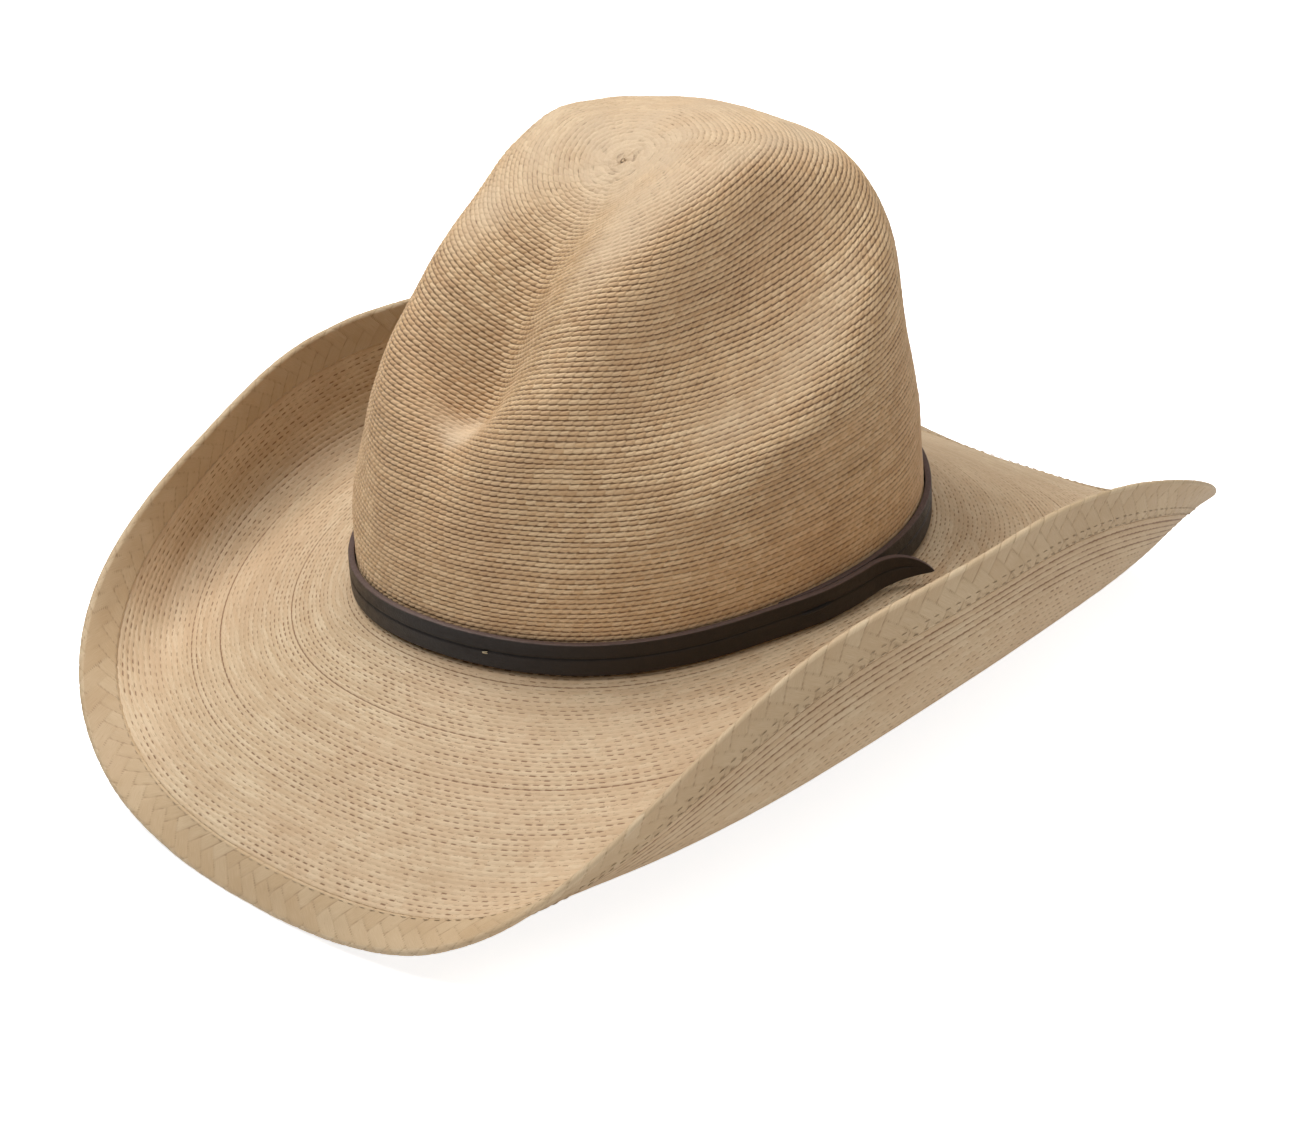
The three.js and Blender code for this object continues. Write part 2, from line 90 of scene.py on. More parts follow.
BRIM_W = [108.58, 0.32, -3.47, -1.46, -2.71]         # cosines: width measured along the brim
BRIM_IN = [-18.47, -6.41, -12.07, 0.89, -0.87]       # cosines: slope beside the crown
BRIM_IN_SKEW = 1.81                                  # weight of sin(angle) added to BRIM_IN
BRIM_OUT = [40.70, -5.12, -71.97, -6.33, -18.70, -0.64, 4.03, 1.79]  # cosines: slope at the edge
BRIM_OUT_SKEW = 1.64, 2.96                           # sin(angle), sin(2 angle) added to BRIM_OUT
BRIM_ROLL = [0.716, 0.0205, 0.1307, 0.0081]          # cosines: place of the bend across the brim
BRIM_TIGHT = [2.992, 0.24, -0.0466]                  # cosines: logarithm of the bend's tightness
EDGE_W, EDGE_T, EDGE_GAP = 14.0, 3.2, 0.7            # edge braid: width, thickness, overlap gap

FIBRE_ROW = 1.85                       # height of one sewn row in the fibre texture


def cosines(weights, angle):
    return sum(weight * np.cos(k * angle) for k, weight in enumerate(weights))


def catmull(p0, p1, p2, p3, f):
    """Smooth curve from p1 to p2 at share f, with the neighbours p0 and p3."""
    return 0.5 * (2 * p1 + (-p0 + p2) * f + (2 * p0 - 5 * p1 + 4 * p2 - p3) * f * f
                  + (-p0 + 3 * p1 - 3 * p2 + p3) * f ** 3)


def at_station(values, y):
    """Reads a list of values at the crown's stations along Y."""
    place = np.clip((y - TOP_Y0) / TOP_DY, 0, len(values) - 1 - 1e-9)
    i = np.floor(place).astype(int)
    padded = np.array([2 * values[0] - values[1]] + values + [2 * values[-1] - values[-2]])
    return catmull(padded[i], padded[i + 1], padded[i + 2], padded[i + 3], place - i)


def saddle(angle):
    """Height of the line where crown and brim meet."""
    return 0.92 * np.cos(2 * angle) + 1.15 * np.cos(4 * angle)


def base_line(angle, off=0.0):
    """The crown's foot moved outwards by off: x, y and the outward direction in plan."""
    nx, ny = np.sin(angle) / CROWN_B, -np.cos(angle) / CROWN_A
    length = np.hypot(nx, ny)
    nx, ny = nx / length, ny / length
    return CROWN_B * np.sin(angle) + nx * off, -CROWN_A * np.cos(angle) + ny * off, nx, ny


def hand_form(angle, fall):
    """Swelling read from FORM, smooth both ways."""
    place = np.abs(np.arctan2(np.sin(angle), np.cos(angle))) / math.radians(30)
    i = np.clip(np.floor(place).astype(int), 0, 5)
    down = np.clip(fall * 10, 0, 10 - 1e-9)
    j = np.floor(down).astype(int)

    def value(row, column):
        row = np.where(row < 0, -row, np.where(row > 6, 12 - row, row))
        return FORM[row, np.clip(column, 0, 10)]

    def column(row):
        return catmull(*(value(row, j + k) for k in (-1, 0, 1, 2)), down - j)

    return catmull(*(column(i + k) for k in (-1, 0, 1, 2)), place - i)


def crown_point(angle, fall):
    """A point of the crown's smooth outer face; fall runs from 0 at the tip to 1 at the foot."""
    angle, fall = np.broadcast_arrays(np.asarray(angle, float), np.asarray(fall, float))
    power_in, power_out, wall, taper = (
        cosines(weights, angle) for weights in (DOME_N, DOME_M, WALL_H, TAPER))
    radius = np.sin(np.minimum(fall / WALL_T, 1) * math.pi / 2)
    dome = np.maximum(1 - radius ** power_in, 0) ** (1 / power_out)
    x, y = CROWN_B * radius * np.sin(angle), -CROWN_A * radius * np.cos(angle)
    crease = at_station(CREASE_DEPTH, y) * np.exp(
        -(np.abs(x) / at_station(CREASE_WIDTH, y)) ** CREASE_POWER)
    z = np.where(fall <= WALL_T, wall + (at_station(TOP_H, y) - crease - wall) * dome,
                 wall + (saddle(angle) + 1.0 - wall) * (fall - WALL_T) / (1 - WALL_T))
    narrow = 1 - taper * (np.maximum(z, 0) / 150) ** TAPER_POWER
    x, y = x * narrow, y * narrow
    side = smooth(DENT.x0, DENT.x1, np.abs(x))
    dent_z = DENT.z + DENT.slope * (y - DENT.y)
    reach = np.where(y < DENT.y, DENT.minus_y, DENT.plus_y)
    dent = (DENT.depth * np.exp(-((y - DENT.y) / reach) ** 2)
            * np.exp(-((z - dent_z) / DENT.tall) ** 2) * side)
    swell = hand_form(angle, fall)
    lean = math.pi / 2 * np.minimum(fall / WALL_T, 1) ** 1.5
    return np.stack([x - np.sign(x) * 0.6 * dent + swell * np.sin(angle) * np.sin(lean),
                     y + 0.15 * dent - swell * np.cos(angle) * np.sin(lean),
                     z - 0.75 * dent + swell * np.cos(lean)], -1)


def brim_lines(angle, steps=240):
    """The brim's middle surface: its width at each angle, then tables of reach from the
    crown, height and slope at steps + 1 places across it."""
    width = cosines(BRIM_W, angle)
    slope_in = np.radians(cosines(BRIM_IN, angle) + BRIM_IN_SKEW * np.sin(angle))[:, None]
    slope_out = np.radians(cosines(BRIM_OUT, angle) + BRIM_OUT_SKEW[0] * np.sin(angle)
                           + BRIM_OUT_SKEW[1] * np.sin(2 * angle))[:, None]
    roll = cosines(BRIM_ROLL, angle)[:, None]
    tight = np.exp(cosines(BRIM_TIGHT, angle))[:, None]

    def bend(place):
        return 1 / (1 + np.exp(-(place - roll) * tight))

    def slope(place):
        return slope_in + (slope_out - slope_in) * (bend(place) - bend(0)) / (bend(1) - bend(0))

    def summed(step):
        start = np.zeros((len(angle), 1))
        return np.concatenate([start, np.cumsum(step, 1)], 1) * width[:, None] / steps

    places = np.linspace(0, 1, steps + 1)[None, :]
    middle = slope((places[:, 1:] + places[:, :-1]) / 2)
    height = summed(np.sin(middle)) + saddle(angle)[:, None]
    return width, summed(np.cos(middle)), height, slope(places)


def read_across(values, place):
    """Reads a table made by brim_lines at places 0..1 (one row for each angle)."""
    last = values.shape[1] - 1
    u = np.clip(place, 0, 1) * last
    i = np.minimum(np.floor(u).astype(int), last - 1)
    start = np.take_along_axis(values, i, 1)
    return start + (np.take_along_axis(values, i + 1, 1) - start) * (u - i)


def brim_surface(angle, lines, place, off):
    """Points off mm above the brim's middle; places past 1 carry straight on from the edge."""
    width = lines[0]
    reach, height, slope = (read_across(values, place) for values in lines[1:])
    past = np.maximum(place - 1, 0) * width[:, None]
    reach, height = reach + past * np.cos(slope), height + past * np.sin(slope)
    x, y, nx, ny = base_line(angle)
    out = reach - np.sin(slope) * off
    return np.stack([x[:, None] + nx[:, None] * out, y[:, None] + ny[:, None] * out,
                     height + np.cos(slope) * off], -1)


# ------------------------------------------------------------------ small tools
def smooth(start, end, x):
    """Eased step from 0 at start to 1 at end."""
    t = np.clip((x - start) / (end - start), 0, 1)
    return t * t * (3 - 2 * t)


def value_noise(x, y, seed, cells):
    """Smooth random field in about -1..1 over a grid of cells, wrapped in x."""
    nx, ny = cells
    grid = np.random.default_rng(seed).uniform(-1, 1, (nx, ny + 2))
    u, v = (x % 1.0) * nx, np.clip(y, 0, 1) * ny
    i, j = np.floor(u).astype(int) % nx, np.minimum(np.floor(v).astype(int), ny)
    f, h = u - np.floor(u), v - np.floor(v)
    f, h = f * f * (3 - 2 * f), h * h * (3 - 2 * h)
    i2, j2 = (i + 1) % nx, np.minimum(j + 1, ny + 1)
    return ((grid[i, j] * (1 - f) + grid[i2, j] * f) * (1 - h)
            + (grid[i, j2] * (1 - f) + grid[i2, j2] * f) * h)


def hashed(a, b, seed):
    """Random 0..1 for pairs of whole numbers."""
    a = np.asarray(a).astype(np.uint32)
    b = np.asarray(b).astype(np.uint32)
    h = (a * np.uint32(374761393) + b * np.uint32(668265263)
         + np.uint32(seed * 2246822519 & 0xFFFFFFFF))
    h = (h ^ (h >> np.uint32(13))) * np.uint32(1274126177)
    h = h ^ (h >> np.uint32(16))
    return (h & np.uint32(0xFFFFFF)).astype(float) / float(0xFFFFFF)


def vec3(x, y, z):
    return np.stack(np.broadcast_arrays(x, y, z), -1)


def circle(count):
    return PI2 * np.arange(count) / count


def normals(points):
    """Outward unit normals of a grid that runs round the hat, then away from the tip."""
    round_hat = np.roll(points, -1, 0) - np.roll(points, 1, 0)
    n = np.cross(np.gradient(points, axis=1), round_hat)
    return n / np.maximum(np.linalg.norm(n, axis=-1, keepdims=True), 1e-12)


def arc(points):
    """Distance travelled round each ring of a wrapped grid, and each ring's whole length."""
    step = np.linalg.norm(np.roll(points, -1, 0) - points, axis=-1)
    total = np.cumsum(step, 0)
    return np.concatenate([np.zeros_like(total[:1]), total[:-1]], 0), total[-1]


def travelled(points):
    """Distance along an open line of points."""
    step = np.linalg.norm(np.diff(points, axis=0), axis=1)
    return np.concatenate([[0], np.cumsum(step)])


def to_scene(points):
    return (points + SHIFT) / 1000.0


def add_object(name, data):
    ob = bpy.data.objects.new(name, data)
    scene.collection.objects.link(ob)
    return ob


def build(name, co, quads, tris=None, attrs=None, uv=None):
    """A mesh object from numpy arrays; co is in metres. uv has one pair for each corner."""
    me = bpy.data.meshes.new(name)
    tris = np.zeros((0, 3), int) if tris is None else tris
    loops = np.concatenate([quads.ravel(), tris.ravel()]).astype(np.int32)
    starts = np.concatenate([np.arange(len(quads)) * 4,
                             4 * len(quads) + np.arange(len(tris)) * 3]).astype(np.int32)
    me.vertices.add(len(co))
    me.vertices.foreach_set("co", np.asarray(co, np.float32).ravel())
    me.loops.add(len(loops))
    me.loops.foreach_set("vertex_index", loops)
    me.polygons.add(len(starts))
    me.polygons.foreach_set("loop_start", starts)
    for key, values in (attrs or {}).items():
        values = np.asarray(values, np.float32)
        kind, field = ("FLOAT", "value") if values.ndim == 1 else ("FLOAT_VECTOR", "vector")
        me.attributes.new(key, kind, "POINT").data.foreach_set(field, values.ravel())
    me.update(calc_edges=True)
    me.shade_smooth()
    if uv is not None:
        layer = me.uv_layers.new(name="OFBake")
        layer.data.foreach_set("uv", np.asarray(uv, np.float32).ravel())
    return add_object(name, me)


def ring_faces(ni, nj, wrap_j=False, flip=False, start=0):
    """Quads of a grid closed in i; also the corners' places in the grid, for UVs."""
    i, j = np.meshgrid(np.arange(ni), np.arange(nj if wrap_j else nj - 1), indexing="ij")
    i, j = i.ravel(), j.ravel()
    i2, j2 = (i + 1) % ni, (j + 1) % nj
    quads = np.stack([i * nj + j, i2 * nj + j, i2 * nj + j2, i * nj + j2], 1) + start
    at_i = np.stack([i, i + 1, i + 1, i], 1)
    at_j = np.stack([j, j, j + 1, j + 1], 1)
    if flip:
        return quads[:, ::-1], at_i[:, ::-1], at_j[:, ::-1]
    return quads, at_i, at_j


def open_faces(stations, around):
    """Faces of a closed section swept along an open path: quads, start cap and end cap."""
    quads = ring_faces(stations, around, wrap_j=True)[0][: (stations - 1) * around]
    j = np.arange(1, around - 1)
    end = (stations - 1) * around
    first = np.stack([np.zeros_like(j), j + 1, j], 1)
    last = np.stack([np.full_like(j, end), end + j, end + j + 1], 1)
    return quads, first, last


def turned_out(co, quads):
    """Whether the faces enclose a positive volume."""
    c = co - co.mean(0)
    a, b, c, d = (c[quads[:, k]] for k in range(4))
    return (np.einsum("ij,ij->i", a, np.cross(b, c)).sum()
            + np.einsum("ij,ij->i", a, np.cross(c, d)).sum()) > 0


def capped(sections):
    """Points and outward faces of an open sweep, capped at both ends."""
    quads, first, last = open_faces(*sections.shape[:2])
    tris = np.concatenate([first, last])
    co = to_scene(sections.reshape(-1, 3))
    if not turned_out(co, quads):
        quads, tris = quads[:, ::-1], tris[:, ::-1]
    return co, quads, tris


def closed_sweep(name, sections, attrs=None):
    """A section swept round a closed path."""
    co = to_scene(sections.reshape(-1, 3))
    quads = ring_faces(*sections.shape[:2], wrap_j=True)[0]
    if not turned_out(co, quads):
        quads = quads[:, ::-1]
    return build(name, co, quads, None, attrs)


# ------------------------------------------------------------------ crown
ROWS = 112
STITCH = 3.2                           # mm along a crown row


def sewn(row, v, count, seed):
    """The relief of braid seen from the crown's inside, not made here: this sewn only raises
    NotImplementedError, and the sewn below replaces it. row (whole number of the row), v (stitches
    travelled along it) and count (stitches in the row) are not used."""
    raise NotImplementedError


def sewn(row, u, v, count, seed, slant=0.5, overlap=0.45, half=0.42):
    """The relief of overlapping slanted stitches, seen on the crown's inner face.

    row: number of the row, u: 0..1 across it from the tip's side, v: stitches travelled
    along it, count: stitches in it. slant, overlap and half width are shares of a stitch
    or row. Returns height 0..1 and each stitch's own random number."""
    v = v + hashed(row, 17, seed) + 0.10 * np.sin(PI2 * (v / np.maximum(count, 1)) * 5 + row)
    best = np.zeros_like(v)
    tone = np.zeros_like(v)
    for back in (0, 1):                # this stitch, and the one before that may overlap it
        k = np.floor(v) - back
        own = np.mod(k, np.maximum(count, 1))
        r1, r2 = hashed(row, own, seed + 1), hashed(row, own, seed + 2)
        a = (v - k) / (1 + overlap)
        live = (a > 0) & (a < 1)
        a = np.clip(a, 0, 1)
        middle = 0.5 + slant * (0.5 - a) + 0.10 * (r2 - 0.5)
        d = np.abs((u - middle) / (half * (0.92 + 0.16 * r1)))
        height = (np.maximum(1 - d ** 2.2, 0) ** 0.5
                  * np.sin(math.pi * np.clip(a, 0.001, 0.999)) ** 0.33 * (0.86 + 0.14 * r1))
        height = np.where(live, height + 0.05 * (back == 0), 0)
        better = height > best
        best = np.where(better, height, best)
        tone = np.where(better, hashed(row, own, seed + 3), tone)
    return np.clip(best, 0, 1), tone


def knit(row, u, v, count, seed):
    """The relief of plump slanted stitches under a scalloped upper edge; arguments as in
    sewn. Returns height 0..1, painted shade 0..1 along the row's edges and between stitches, and each
    stitch's number."""
    v = v + hashed(row, 17, seed) + 0.16 * np.sin(PI2 * (v / np.maximum(count, 1)) * 7 + row * 1.7)
    k = np.floor(v)
    own = np.mod(k, np.maximum(count, 1))
    r1, r2, tone = (hashed(row, own, seed + n) for n in (1, 2, 3))
    a = v - k
    scallop = np.abs(np.sin(math.pi * (a + 0.10)))
    u = u + 0.12 * (0.6 - scallop) + 0.05 * (r1 - 0.5)
    lean = a + 0.55 * (u - 0.5)        # the stitch leans across its row
    valley = np.exp(-((lean - np.round(lean)) / 0.13) ** 2)
    body = np.clip(1 - np.abs((u - 0.52) / 0.50) ** 2.6, 0, 1) ** 0.6
    height = body * (1 - 0.52 * valley) * (0.84 + 0.16 * r2)
    # painted shade: dark along the row's edges, where the next row tucks under, and in the valleys
    # between stitches
    edge = np.clip(1 - np.minimum(np.clip(u, 0, 2), np.clip(1.04 - u, 0, 2)) / 0.24, 0, 1)
    gap = np.clip(edge * (0.86 + 0.40 * r1) + 0.32 * valley * body, 0, 1)
    return height, gap, tone


def crown_rows(columns, per_row):
    """The crown's smooth surface on rings that follow the sewn rows, near the tip to the foot."""
    angle = circle(columns)
    falls = np.linspace(0, 1, 700)
    fine = crown_point(angle[:, None], falls[None, :])
    steps = np.linalg.norm(np.diff(fine, axis=1), axis=-1)
    lengths = np.concatenate([np.zeros((columns, 1)), np.cumsum(steps, 1)], 1)
    at = np.arange(ROWS * per_row + 1) / per_row                         # in rows from the tip
    at = at[at >= 0.34]
    turn, place = (angle / PI2)[:, None], (at / ROWS)[None, :]
    wander = (value_noise(turn, place, seed=31, cells=(9, 26)) * 0.22
              + value_noise(turn, place, seed=32, cells=(40, 60)) * 0.10)
    shares = place + wander * (smooth(0.0, 0.05, place) * smooth(1.0, 0.97, place)) / ROWS
    fall = np.array([np.interp(share * length[-1], length, falls)
                     for share, length in zip(shares, lengths)])
    points = crown_point(angle[:, None], fall)
    dist, whole = arc(points)
    row = np.minimum(np.floor(at + 1e-6), ROWS - 1)
    count = np.maximum(np.round(np.interp(row + 0.5, at, whole) / STITCH), 5)[None, :]
    return SimpleNamespace(
        at=at, turn=turn, place=place, points=points, normal=normals(points), dist=dist,
        row=row[None, :], u=(at - row)[None, :], count=count, v=dist / whole * count)


def crown_outside(g):
    """Points, painted shade between rows and stitches, stitch tones, and paleness of the crown's outer
    face; the paleness is partly the straw's own and partly a painted sheen where the crown faces up.
    """
    def noise(seed, cells):
        return value_noise(g.turn, g.place, seed, cells)

    height, gap, tone = knit(g.row, g.u, g.v, g.count, 5)
    x, y, z = (g.points[..., k] for k in range(3))
    # pressed flat where the crown faces up, as in the long crease and round the tip; the same mask
    # pales the colour there, partly the pressed straw's own paleness and partly a painted sheen
    flat_up = smooth(0.62, 0.94, g.normal[..., 2]) * (0.8 + 0.2 * noise(57, (20, 20)))
    flat_up = np.clip(flat_up, 0, 1)
    patchy = 0.5 + 0.5 * noise(58, (90, 60))
    low = smooth(70, 34, z) * (0.75 + 0.25 * noise(60, (12, 30)))        # smoother low down
    relief = 0.74 * height * (1 - 0.50 * flat_up) * (1 - 0.15 * low)     # mm
    gap = (gap * (1 - flat_up * (0.35 + 0.5 * patchy)) * (1 - 0.15 * low)
           * (0.95 + 0.25 * noise(61, (70, 90))))
    # the tip, where the braid starts, is a small crumpled rosette
    tip = smooth(15.0, 4.0, g.at)[None, :] * (0.75 + 0.25 * noise(59, (7, 60)))
    far = np.hypot(x, y)
    swirl = np.arctan2(y, x) + far * 0.14
    wrinkle = (np.sin(far * 1.15 + 1.9 * np.sin(2 * swirl + 0.6) + 0.8 * np.sin(5 * swirl))
               + 0.6 * np.sin(x * 0.9 + 2.1 * np.sin(y * 0.47)))
    near_tip = np.exp(-(far / 13.0) ** 2)
    relief = relief * (1 - 0.72 * tip) + (0.08 * tip + 0.15 * near_tip) * wrinkle
    # painted shade in the rosette's wrinkle troughs
    gap = gap * (1 - 0.80 * tip) + (0.16 * tip + 0.32 * near_tip) * smooth(-0.6, -1.4, wrinkle)
    # slow unevenness of the whole face
    relief = relief + 0.12 * noise(91, (26, 16)) + 0.05 * noise(92, (120, 50))
    fade = smooth(ROWS, ROWS - 1.0, g.at)[None, :]
    points = g.points + g.normal * ((relief - 0.42) * fade)[..., None]
    # the last value is paleness: pressed straw and painted sheen where the crown faces up, and at the
    # rosette
    return points, gap, tone, np.clip(flat_up + 0.5 * tip, 0, 1)


def crown_inside(g):
    """Points, painted shade between rows and stitches, and stitch tones of the crown's inner face."""
    height, tone = sewn(g.row, g.u, g.v, g.count, 6)
    ridge = np.clip(1 - np.abs(2 * g.u - 1) ** 2.2, 0, 1)
    thick = STRAW - 0.35 + 0.45 * (0.6 * ridge + 0.4 * height) - 0.3
    # painted shade: darker where the braid lies low
    gap = 1 - np.clip(0.6 * height + 0.5 * ridge, 0, 1)
    return g.points - g.normal * thick[..., None], gap, tone


def crown():
    columns = int(1440 * RES)
    columns_in = columns // 2
    outer = crown_rows(columns, 6)
    inner = crown_rows(columns_in, 3)
    points, gap, tone, pale = crown_outside(outer)
    points_in, gap_in, tone_in = crown_inside(inner)
    rings, rings_in = len(outer.at), len(inner.at)
    inside = columns * rings           # index of the inner face's first point
    tip = inside + columns_in * rings_in
    top_z = float(crown_point(0.0, 0.0)[2])
    co = to_scene(np.concatenate([
        points.reshape(-1, 3), points_in.reshape(-1, 3),
        points[:, 0].mean(0)[None], [[0, 0, top_z - STRAW]]]))

    quads, at_i, at_j = ring_faces(columns, rings, flip=True)
    quads_in, at_i_in, at_j_in = ring_faces(columns_in, rings_in, start=inside)
    i, k = np.arange(columns), np.arange(columns_in)
    fan = np.stack([np.full(columns, tip), ((i + 1) % columns) * rings, i * rings], 1)
    next_in = (k + 1) % columns_in
    fan_in = np.stack([np.full(columns_in, tip + 1), inside + k * rings_in,
                       inside + next_in * rings_in], 1)
    # foot: two outer columns to each inner one
    a, b, c = (((2 * k + n) % columns) * rings + rings - 1 for n in range(3))
    d, e = (inside + n * rings_in + rings_in - 1 for n in (k, next_in))
    foot = np.concatenate([np.stack(corners, 1) for corners in ((a, b, d), (b, c, e), (b, e, d))])

    def joined(out, within, tips):
        """One value for each point: outer face, inner face, the two tips."""
        return np.concatenate([np.broadcast_to(out, gap.shape).ravel(),
                               np.broadcast_to(within, gap_in.shape).ravel(), [tips, tips]])

    attrs = {
        # gap: painted shade between rows and stitches, on both faces
        "gap": joined(gap, gap_in, 0.3),
        "tone": joined(tone, tone_in, 0.5),
        "row_and_fold_tone": joined(hashed(outer.row, 3, 41), hashed(inner.row, 3, 42), 0.5),
        "inside": joined(0.0, 1.0, 0.0),
        # pale: paler where the crown faces up and at the rosette, partly painted sheen
        "pale": joined(pale, 0.0, 0.5),
        "along": np.concatenate(
            [vec3(g.dist, g.at[None, :] * FIBRE_ROW, 0.0).reshape(-1, 3) for g in (outer, inner)]
            + [np.zeros((2, 3))]),
    }
    uv = np.concatenate([
        np.stack([at_i / columns, 0.5 + 0.5 * at_j / rings], -1).reshape(-1, 2),
        np.stack([at_i_in / columns_in, 0.49 * at_j_in / rings_in], -1).reshape(-1, 2),
        np.tile([0.5, 0.501], (len(fan) * 3, 1)),
        np.tile([0.5, 0.0], (len(fan_in) * 3, 1)),
        np.tile([0.5, 0.995], (len(foot) * 3, 1)),
    ])
    return build("crown_braid", co, np.concatenate([quads, quads_in]),
                 np.concatenate([fan, fan_in, foot]), attrs, uv)


# ------------------------------------------------------------------ brim
BRIM_ROWS = 53
ROW_INNER, ROW_GROWTH = 1.45, 0.325    # row height in mm beside the crown; half its growth outwards


def brim_face(side, angle, lines, at):
    """One face of the brim (side 1: top, -1: underside), at rings counted in rows."""
    turn, place = (angle / PI2)[:, None], (at / BRIM_ROWS)[None, :]

    def noise(seed, cells):
        return value_noise(turn, place, seed, cells)

    end = 1 - (EDGE_W + EDGE_GAP / 2 - 0.6) / lines[0]
    fade = smooth(0, 2, at) * smooth(BRIM_ROWS, BRIM_ROWS - 2, at)
    rows = at[None, :] + noise(51 + side, (14, 18)) * 0.20 * fade
    grown = ((ROW_INNER * rows + ROW_GROWTH * rows * rows / BRIM_ROWS)
             / ((ROW_INNER + ROW_GROWTH) * BRIM_ROWS))
    points = brim_surface(angle, lines, grown * end[:, None], side * (STRAW / 2 - 0.16))
    normal = side * normals(points)
    dist, whole = arc(points)

    # a dash of shade lies on each boundary between two rows, where the braid is pulled down
    near = np.round(at + 1e-6)
    from_line = (at - near)[None, :]
    pitch = 3.7 if side == 1 else 3.0
    count = np.maximum(np.round(np.interp(near, at, whole) / pitch), 5)
    share = dist / whole[None, :]
    v = (share * count + 0.5 * np.mod(near, 2) + 0.25 * hashed(near, 5, 61)
         + 0.12 * np.sin(PI2 * share * 9 + near))
    k = np.floor(v)
    f = v - k
    own = hashed(near, np.mod(k, count), 62 + side)
    line = np.exp(-((from_line - 0.12 * (f - 0.4) * side) / 0.17) ** 2)
    window = smooth(0.0, 0.15, f) * smooth(0.78, 0.55, f)
    calm = 0.70 + 0.30 * noise(83 + side, (10, 9))                       # some stretches hardly show it
    strength = (0.25 + 0.85 * own) * calm
    if side == 1:                                                        # strongest 20 degrees past -Y
        strength = strength * (0.85 + 0.15 * np.cos(angle - math.radians(20))[:, None])
    ringed = (hashed(near, 4, 80 + side) > 0.88) * (0.25 + 0.45 * noise(81, (8, 40)))
    dash = line * np.clip(window * strength + ringed, 0, 1)
    if side == -1:                     # the outermost rows underneath are plain dotted lines
        outer = smooth(BRIM_ROWS - 5.6, BRIM_ROWS - 4.8, at)[None, :]
        dots = 0.22 + 0.45 * own * smooth(0.05, 0.35, np.abs(f - 0.5))
        dash = dash * (0.85 - 0.3 * outer) + outer * line * dots
    pillow = np.cos(math.pi * from_line) ** 2
    row = np.floor(at)[None, :]
    cell = hashed(row, np.floor(dist / 4.6), 64)
    relief = 0.12 * (1 - pillow) - 0.20 * dash + 0.05 * (cell - 0.5)
    relief = relief + 0.10 * noise(95 + side, (30, 12))
    attrs = {
        "gap": np.clip(dash * 1.05 + line * 0.20, 0, 1),
        "tone": cell,
        "row_and_fold_tone": hashed(row, 3, 43 + side),
        "inside": 0.0 if side == 1 else 1.0,
        "along": vec3(dist, place * BRIM_ROWS * FIBRE_ROW, 40.0 * side),
        "pale": 0.0,
    }
    return points + normal * (relief - 0.02)[..., None], attrs


def brim():
    columns = int(1600 * RES)
    per_row = 5
    angle = circle(columns)
    lines = brim_lines(angle)
    at = np.arange(BRIM_ROWS * per_row + 1) / per_row
    top, top_attrs = brim_face(1, angle, lines, at)
    under, under_attrs = brim_face(-1, angle, lines, at)
    # two more rings under the crown close the sheet's inner edge
    x, y, _, _ = base_line(angle, -2.6)
    strip = np.stack([vec3(x, y, saddle(angle) + z) for z in (1.15, -1.15)], 1)
    co = np.concatenate([part.reshape(-1, 3) for part in (top, under, strip)])

    nj = len(at)
    below = columns * nj               # index of the underside's first point
    quads_top, i_top, j_top = ring_faces(columns, nj, flip=True)
    quads_under, i_under, j_under = ring_faces(columns, nj, start=below)
    i = np.arange(columns)
    i2 = (i + 1) % columns
    row, row2 = i * nj, i2 * nj
    a, b = 2 * below + i * 2, 2 * below + i2 * 2
    e = nj - 1
    closing = np.concatenate([np.stack(corners, 1)[:, ::-1] for corners in (
        (row + e, row2 + e, below + row2 + e, below + row + e),
        (row2, row, a, b), (b, a, a + 1, b + 1), (b + 1, a + 1, below + row, below + row2))])
    uv = np.concatenate([
        np.stack([i_top / columns, 0.5 + 0.5 * j_top / nj], -1).reshape(-1, 2),
        np.stack([i_under / columns, 0.49 * j_under / nj], -1).reshape(-1, 2),
        np.tile([0.5, 0.5], (len(closing) * 4, 1)),
    ])
    attrs = {}
    for key, values in top_attrs.items():
        shape, row_shape, rest = (columns, nj), (-1,), np.full(columns * 2, 0.4)
        if key == "along":
            shape, row_shape, rest = (columns, nj, 3), (-1, 3), np.zeros((columns * 2, 3))
        faces = [np.broadcast_to(face, shape).reshape(row_shape)
                 for face in (values, under_attrs[key])]
        attrs[key] = np.concatenate(faces + [rest])
    quads = np.concatenate([quads_top, quads_under, closing])
    return build("brim_braid", to_scene(co), quads, None, attrs, uv)


# ------------------------------------------------------------------ edge braid
EDGE_PITCH = 8.0                       # between straws, along the edge


def twill(a, b, seed):
    """A flat 2/2 twill of crossing straws. a, b: places across the two families, in straw
    widths. Returns height, tone, a mark of painted shade where straws pass under each other, and which
    family lies on top."""
    i, j = np.floor(a), np.floor(b)
    phase = np.mod(i - j, 4)
    over = phase < 2
    f = np.where(over, a - i, b - j)                                     # across the straw on top
    second = np.where(over, phase >= 1, phase >= 3)
    along = (np.where(over, 1 - (b - j), a - i) + second) / 2            # along its visible float
    end = np.clip(np.minimum(along, 1 - along) / 0.10, 0, 1)
    side = np.clip(np.minimum(f, 1 - f) / 0.10, 0, 1)
    height = (side * (2 - side)) ** 0.7 * (0.55 + 0.45 * (end * (2 - end)))
    tone = np.where(over, hashed(i + 5000, 1, seed), hashed(j + 5000, 2, seed))
    # painted shade at each straw's sides and at the ends of its floats, where it passes under its
    # neighbours
    mark = np.clip(1 - np.minimum(side * 1.6, 0.45 + 0.55 * end), 0, 1)
    return height, tone, mark, np.where(over, 1.0, 0.0)


